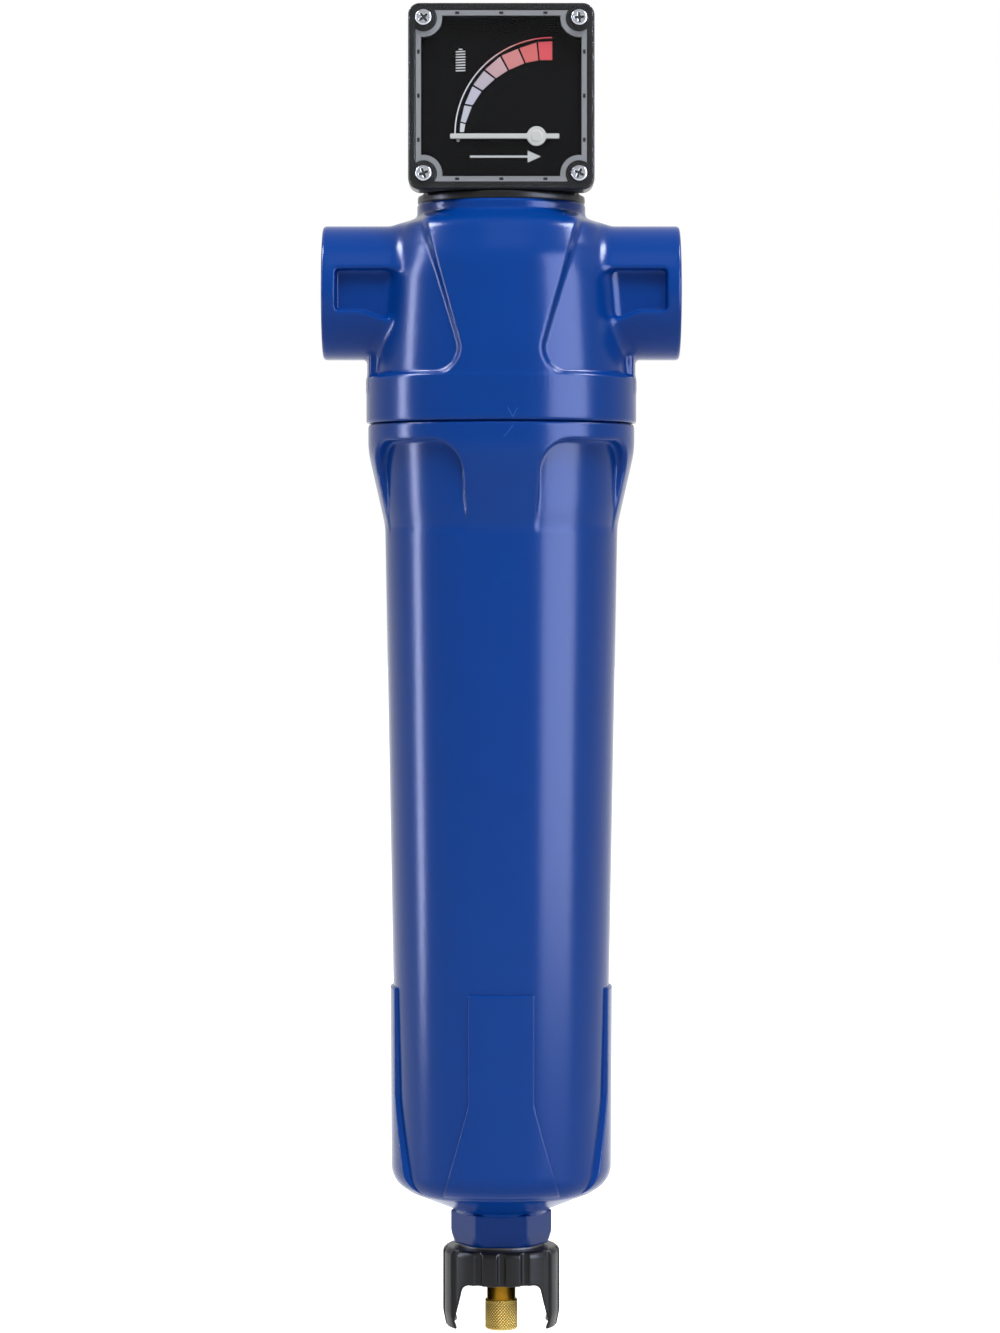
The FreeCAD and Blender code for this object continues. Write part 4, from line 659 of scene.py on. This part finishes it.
def base_field(x, y, z):
    foot = met(np.hypot(x, y) - BASE_RADIUS, between(z, HEAD_TOP, BASE_TOP), 0.9)
    block = met(box_field(x, y - BLOCK_MIDDLE, 30, 12, 2.5), between(z, 36, BLOCK_TOP), 1.0)
    return joined(foot, block, 1.2)


base = skin("gauge_foot", base_field, (-34, -34, 34), (34, 34, 91), 0.6)
dress(base, BLACK, "head", ["gauge_base"])

# Printed dial

DIAL_FACE = -27.0
PRINT_FRONT = -27.12
PRINT_BACK = -27.01


def dial_field(x, y, z):
    up = z - GAUGE_LEVEL
    return met(notched(x, up, 30.8, 7.4), between(y, DIAL_FACE, -26.2), 0.2)


dial = skin("dial_plate", dial_field, (-32, -28, 42), (32, -25.4, 106.2), 0.4)
dress(dial, DIAL, "head", ["gauge_dial"])

RIB_PLACE = 32.0
RIBS = [(side, offset) for offset in (-17, 0, 17) for side in (-1, 1)]


def rib_field(u, v, half_u, half_v):
    """A small rib of the case's rim, seen through the cover."""

    def field(x, y, z):
        outline = box_field(x - u, z - GAUGE_LEVEL - v, half_u, half_v, 0.3)
        return np.maximum(outline, between(y, -32.54, -32.3))

    return field


for k, (side, offset) in enumerate(RIBS):
    for turn in (0, 1):
        u, v = (offset, side * RIB_PLACE) if turn else (side * RIB_PLACE, offset)
        half_u, half_v = (0.9, 0.55) if turn else (0.55, 0.9)
        rib = skin("cover_rib_%d_%d" % (k, turn), rib_field(u, v, half_u, half_v),
                   (u - 1.5, -32.9, GAUGE_LEVEL + v - 1.5), (u + 1.5, -32.0, GAUGE_LEVEL + v + 1.5), 0.12)
        dress(rib, BLACK, "head")


def decal(name, points, colour):
    """A thin printed shape in front of the dial, from (x, level) points."""
    count = len(points)
    corners = [(u, depth, v) for depth in (PRINT_FRONT, PRINT_BACK) for u, v in points]
    faces = [tuple(range(count)), tuple(range(2 * count - 1, count - 1, -1))]
    faces += [(k, (k + 1) % count, count + (k + 1) % count, count + k) for k in range(count)]
    obj = new_object(name, corners, faces)
    outward(obj)
    obj.data.polygons.foreach_set("use_smooth", [False] * len(faces))
    ink = textured(material(name + "_print", colour, 0.6), 3000, 1e-5, 0.04)
    dress(obj, ink, "head", ["gauge_dial"])


OUTER_EDGE = [(-16.06, 60.4), (-15.8, 64.3), (-14.2, 71.2), (-11.0, 78.6), (-6.5, 84.5), (-0.2, 90.0),
              (6.7, 92.9), (13.9, 95.3), (20.0, 95.7)]
INNER_EDGE = [(-14.5, 60.4), (-13.9, 63.8), (-11.3, 70.7), (-7.5, 76.5), (-2.3, 81.3), (2.7, 84.5),
              (9.2, 87.3), (14.6, 88.4), (20.0, 88.4)]
SCALE = [(192, 196, 200), (176, 178, 188), (172, 171, 186), (170, 160, 171),
         (178, 142, 147), (188, 114, 112), (194, 88, 84), (198, 62, 70)]
ARC_CENTRE = (19.6, 59.6)
ARC_RADIUS = 37.5
ARC_HALF = 0.22
ARC_STEPS = 6
ARC_PALE = 235
GAP = 0.05
WHITE_PRINT = srgb(184, 185, 186)


def along(a, b, part):
    return tuple(p + (q - p) * part for p, q in zip(a, b))


for k, colour in enumerate(SCALE):
    outer, inner = OUTER_EDGE[k:k + 2], INNER_EDGE[k:k + 2]
    block = [along(*outer, GAP), along(*outer, 1 - GAP), along(*inner, 1 - GAP), along(*inner, GAP)]
    decal("scale_block_%d" % k, block, srgb(*colour))
    bends = [math.radians(180 - 90 / len(SCALE) * (k + part / ARC_STEPS)) for part in range(ARC_STEPS + 1)]
    rows = ((ARC_RADIUS + ARC_HALF, bends), (ARC_RADIUS - ARC_HALF, bends[::-1]))
    ring = [(ARC_CENTRE[0] + r * math.cos(a), ARC_CENTRE[1] + r * math.sin(a))
            for r, row in rows for a in row]
    paler = [int(c + (ARC_PALE - c) * (1 - k / 7) * 0.6) for c in colour]
    decal("scale_arc_%d" % k, ring, srgb(*paler))

decal("flow_arrow", [(-12.1, 50.7), (10.2, 50.7), (10.2, 48.8), (15.3, 51.1), (10.2, 53.4), (10.2, 51.5),
                     (-12.1, 51.5)], WHITE_PRINT)
decal("scale_stop", [(-17.3, 56.8), (-16.1, 56.8), (-16.1, 57.9), (-17.3, 57.9)], srgb(150, 150, 150))
for k in range(8):
    low = 84.0 + 1.05 * k
    stripe = [(-17.6, low), (-13.9, low + 0.15), (-13.9, low + 0.65), (-17.6, low + 0.5)]
    decal("element_sign_%d" % k, stripe, WHITE_PRINT)
decal("element_cap", [(-16.5, 92.3), (-15.0, 92.3), (-15.0, 92.8), (-16.5, 92.8)], WHITE_PRINT)

POINTER_X = 13.6
POINTER_LEVEL = 58.9


def pointer_field(x, y, z):
    up = z - POINTER_LEVEL
    away = np.hypot(x - POINTER_X, up)
    needle = met(np.abs(up) - 1.0, between(x, POINTER_X - 33.4, POINTER_X + 8.8), 0.3)
    cap = met(away - 2.2, between(y, -29.15, -28.0), 0.3)
    return np.minimum(met(np.minimum(needle, away - 3.8), between(y, -28.9, -28.0), 0.2), cap)


pointer = skin("pointer_needle", pointer_field, (-21, -29.6, 54.5), (23, -27.6, 63.2), 0.2)
dress(pointer, WHITE, "pointer", ["gauge_pointer"])

# Drain collar and knob

COLLAR_PROFILE = rounded([
    (10.1, COLLAR_TOP), (22.9, COLLAR_TOP, 2.4), (22.9, CLAW_FOOT + 6, 10), (21.7, CLAW_FOOT, 0.8),
    (19.0, CLAW_FOOT, 0.5), (19.0, CLAW_FOOT + 1.6), (20.6, CLAW_FOOT + 3.4), (19.6, -382), (10.1, -382)])
CLAW_WINDOW = rounded([
    (-25, -387.3), (14.8, -387.3, 3.0), (18.2, CLAW_FOOT + 3), (16.8, CLAW_FOOT - 1), (-25, CLAW_FOOT - 1)])
FLUTES = [math.radians(sign * angle + half) for half in (-90, 90) for angle in (0, 24, 54, 80)
          for sign in (-1, 1) if angle or sign > 0]
FLUTE_RADIUS = 1.9
FLUTE_CIRCLE = 23.3


def collar_field(x, y, z):
    body = turned(COLLAR_PROFILE)(x, y, z)
    gap = polygon(CLAW_WINDOW)(np.abs(x), z)
    flutes = np.minimum.reduce([
        np.hypot(x - FLUTE_CIRCLE * math.cos(a), y - FLUTE_CIRCLE * math.sin(a)) - FLUTE_RADIUS
        for a in FLUTES])
    return met(met(body, -gap, 0.7), -flutes, 0.3)


collar = skin("claw_nut", collar_field, (-23.8, -23.8, CLAW_FOOT - 0.8),
              (23.8, 23.8, COLLAR_TOP + 0.8), 0.4)
dress(collar, BLACK, "collar", ["drain_collar"])

KNOB_RADIUS = 6.35
KNOB_NECK = 5.65
KNOB_SHANK = 4.5
KNOB_BORE = 1.5
KNOB_FOOT = -407.1
KNURL_FOOT = KNOB_FOOT + 0.6
KNURL_TOP = -395.1
KNURL_END = KNURL_TOP - 0.4
KNURLS = 32
KNURL_PITCH = 1.3
KNURL_DEPTH = 0.3
GROOVE_DEPTH = 0.14


def knurl(angle, height):
    turns = angle * KNURLS / (2 * math.pi)
    ridge = np.minimum(wave(turns + height / KNURL_PITCH), wave(turns - height / KNURL_PITCH))
    return -KNURL_DEPTH * (1 - np.minimum(ridge * 1.8, 1))


knob_profile = [
    (KNOB_BORE, KNOB_FOOT, 0), (5.75, KNOB_FOOT, 0),
    *[(KNOB_RADIUS, h, 1.0) for h in np.arange(KNURL_FOOT, KNURL_END, 0.12)],
    (5.9, KNURL_TOP, 0), (KNOB_NECK, KNURL_TOP, 0), (KNOB_NECK, -387.6, 0), (5.2, -386.9, 0),
    (KNOB_SHANK, -386.9, 0), (KNOB_SHANK, -378, 0), (3.1, -378, 0), (3.1, -376, 0), (KNOB_SHANK, -376, 0),
    (KNOB_SHANK, -373, 0), (3.5, -372, 0), (KNOB_BORE, -372, 0)]
knob = lathe("knurled_knob", knob_profile, 352, knurl)
dress(knob, BRASS, "knob", ["drain_knob"])
# Faces deep in the knurl's grooves take the darker brass as painted shade.
knob.data.materials.append(SHADED_BRASS)
for face in knob.data.polygons:
    centre = face.center / MM
    deep = KNOB_RADIUS - math.hypot(centre.x - AXIS_X, centre.y)
    if KNURL_FOOT < centre.z < KNURL_END and deep > GROOVE_DEPTH:
        face.material_index = 1

# Measuring spring, kept at its rest length; in the gauge it shortens as the piston rises

COIL_TURNS = 5
COIL_STEPS = 36
WIRE_RADIUS = 0.45
WIRE_SIDES = 12

low, high = (np.array(corner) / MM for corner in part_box("piston_spring"))
turn = np.arange(COIL_TURNS * COIL_STEPS + 1) * 2 * math.pi / COIL_STEPS
part = np.linspace(0, 1, len(turn))
foot, head = low[2] + WIRE_RADIUS, high[2] - WIRE_RADIUS
middle = (low + high) / 2
corners = []
for k in range(WIRE_SIDES):
    side = k * 2 * math.pi / WIRE_SIDES
    wide = (high[0] - low[0]) / 2 - WIRE_RADIUS + WIRE_RADIUS * math.cos(side)
    corners.append(np.stack([middle[0] - AXIS_X + wide * np.cos(turn), middle[1] + wide * np.sin(turn),
                             foot + (head - foot) * part + WIRE_RADIUS * math.sin(side)], 1))
corners = np.stack(corners, 1).reshape(-1, 3)
faces = [(a * WIRE_SIDES + k, a * WIRE_SIDES + (k + 1) % WIRE_SIDES,
          (a + 1) * WIRE_SIDES + (k + 1) % WIRE_SIDES, (a + 1) * WIRE_SIDES + k)
         for a in range(len(turn) - 1) for k in range(WIRE_SIDES)]
faces += [tuple(range(WIRE_SIDES)), tuple(range(len(corners) - WIRE_SIDES, len(corners)))]
coil = new_object("measuring_coil", corners, faces)
outward(coil)
dress(coil, STAINLESS, "head", ["piston_spring"])
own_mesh(coil)

# Pieces that keep their CAD shape

FINISHES = (
    (RUBBER, ("bowl_seal", "element_neck_seals", "drain_body_seal", "knob_seal", "piston_seal", "valve_pad",
              "gauge_port_seals")),
    (CAP, ("element_top_cap", "element_bottom_cap")),
    (STAINLESS, ("inner_core", "outer_core", "lever_pin", "drain_lever", "pointer_shaft")),
    (BRASS, ("drain_body", "lever_bracket", "valve_nozzle", "pointer_bearing")),
    (STEEL, ("gauge_base_screws", "housing_screws")),
    (PALE_PLASTIC, ("drain_cage", "drain_float")),
    (MAGNET, ("pointer_magnet", "piston_magnet")),
    (ANODISED, ("sensing_piston", "cylinder_plug")),
    (FIBRE, ("filter_media",)),
    (FOAM, ("drain_sleeve",)),
    # The washer takes the darker steel as painted shade in the gap between hexagon and collar.
    (SHADED_STEEL, ("collar_washer",)),
    (CORD, ("gauge_cover_seal",)),
    (DIAL, ("gauge_dial",)),
)
for mat, names in FINISHES:
    for name in names:
        paint(nodes[name], mat)

# Camera, light and room

PICTURE = (1000, 1333)
FOCAL_PIXELS = 4193.5
CAMERA_DISTANCE = 1650.0
CAMERA_LEVEL = -107.0
CAMERA_SIDE = -0.5
HORIZON_ROW = 565.4

camera = bpy.data.objects.new("camera", bpy.data.cameras.new("camera"))
bpy.context.scene.collection.objects.link(camera)
camera.data.sensor_width = 36
camera.data.lens = FOCAL_PIXELS * camera.data.sensor_width / PICTURE[1]
camera.data.clip_end = 50
camera.location = ((AXIS_X + CAMERA_SIDE) * MM, -CAMERA_DISTANCE * MM, CAMERA_LEVEL * MM)
camera.data.shift_y = (HORIZON_ROW - PICTURE[1] / 2) / PICTURE[1]
camera.rotation_euler = (math.pi / 2, 0, 0)
bpy.context.scene.camera = camera


def lamp(name, azimuth, elevation, distance, width, height, power, colour=(1, 1, 1)):
    """A soft panel that faces the object; azimuth 0 is in front and grows to the right."""
    data = bpy.data.lights.new(name, "AREA")
    data.shape = "RECTANGLE"
    data.size, data.size_y = width, height
    data.energy = power
    data.color = colour
    obj = bpy.data.objects.new(name, data)
    bpy.context.scene.collection.objects.link(obj)
    a, e = math.radians(azimuth), math.radians(elevation)
    centre = Vector((AXIS_X * MM, 0, -0.15))
    out = Vector((math.sin(a) * math.cos(e), -math.cos(a) * math.cos(e), math.sin(e)))
    obj.location = centre + out * distance
    obj.rotation_euler = (-out).to_track_quat("-Z", "Y").to_euler()
    return obj


COOL = (0.7, 0.77, 1.0)
PALE = (0.8, 0.85, 1.0)

# The key gives light and no reflection, the others give reflections and no light.
lamp("key", 8, 58, 2.8, 1.8, 1.4, 83).visible_glossy = False
for strip in (lamp("left_strip", -91, 2, 1.3, 0.17, 1.6, 40, (0.7, 0.76, 1.0)),
              lamp("right_panel", 59, 4, 1.4, 0.92, 1.6, 112, COOL),
              lamp("left_shoulder", -96, 46, 1.5, 0.45, 0.4, 40, PALE),
              lamp("right_shoulder", 92, 46, 1.5, 0.45, 0.4, 40, PALE)):
    strip.visible_transmission = False
    strip.visible_diffuse = False

ROOM_LIGHT = 0.38

world = bpy.data.worlds.new("room")
bpy.context.scene.world = world
world.use_nodes = True
tree = world.node_tree
light = tree.nodes["Background"]
light.inputs["Color"].default_value = (1, 1, 1, 1)
light.inputs["Strength"].default_value = ROOM_LIGHT
white = tree.nodes.new("ShaderNodeBackground")
white.inputs["Color"].default_value = (1, 1, 1, 1)
white.inputs["Strength"].default_value = 1.0
choice = tree.nodes.new("ShaderNodeMixShader")
tree.links.new(ray_is(tree, *SEEN), choice.inputs["Fac"])
tree.links.new(light.outputs["Background"], choice.inputs[1])
tree.links.new(white.outputs["Background"], choice.inputs[2])
tree.links.new(choice.outputs["Shader"], tree.nodes["World Output"].inputs["Surface"])

# Floor: the filter hangs from its pipes, so the floor lies clear of the lowered bowl.

HANGING_ROOM = 0.03
FLOOR_SIZE = 12.0

floor_level = cad_box[0][2] - HANGING_ROOM
floor_mesh = bpy.data.meshes.new("floor")
floor_corners = [(a * FLOOR_SIZE, b * FLOOR_SIZE, floor_level)
                 for a, b in ((-1, -1), (1, -1), (1, 1), (-1, 1))]
floor_mesh.from_pydata(floor_corners, [], [(0, 1, 2, 3)])
floor = bpy.data.objects.new("floor", floor_mesh)
bpy.context.scene.collection.objects.link(floor)
pale = bpy.data.materials.new("pale_floor")
pale.use_nodes = True
tree = pale.node_tree
shader = tree.nodes["Principled BSDF"]
shader.inputs["Base Color"].default_value = (0.8, 0.8, 0.8, 1)
shader.inputs["Roughness"].default_value = 0.9
shader.inputs["Specular IOR Level"].default_value = 0.1
shader.inputs["Emission Color"].default_value = (1, 1, 1, 1)
tree.links.new(ray_is(tree, *SEEN), shader.inputs["Emission Strength"])
paint(floor, pale)

bpy.context.scene.view_settings.view_transform = "Standard"
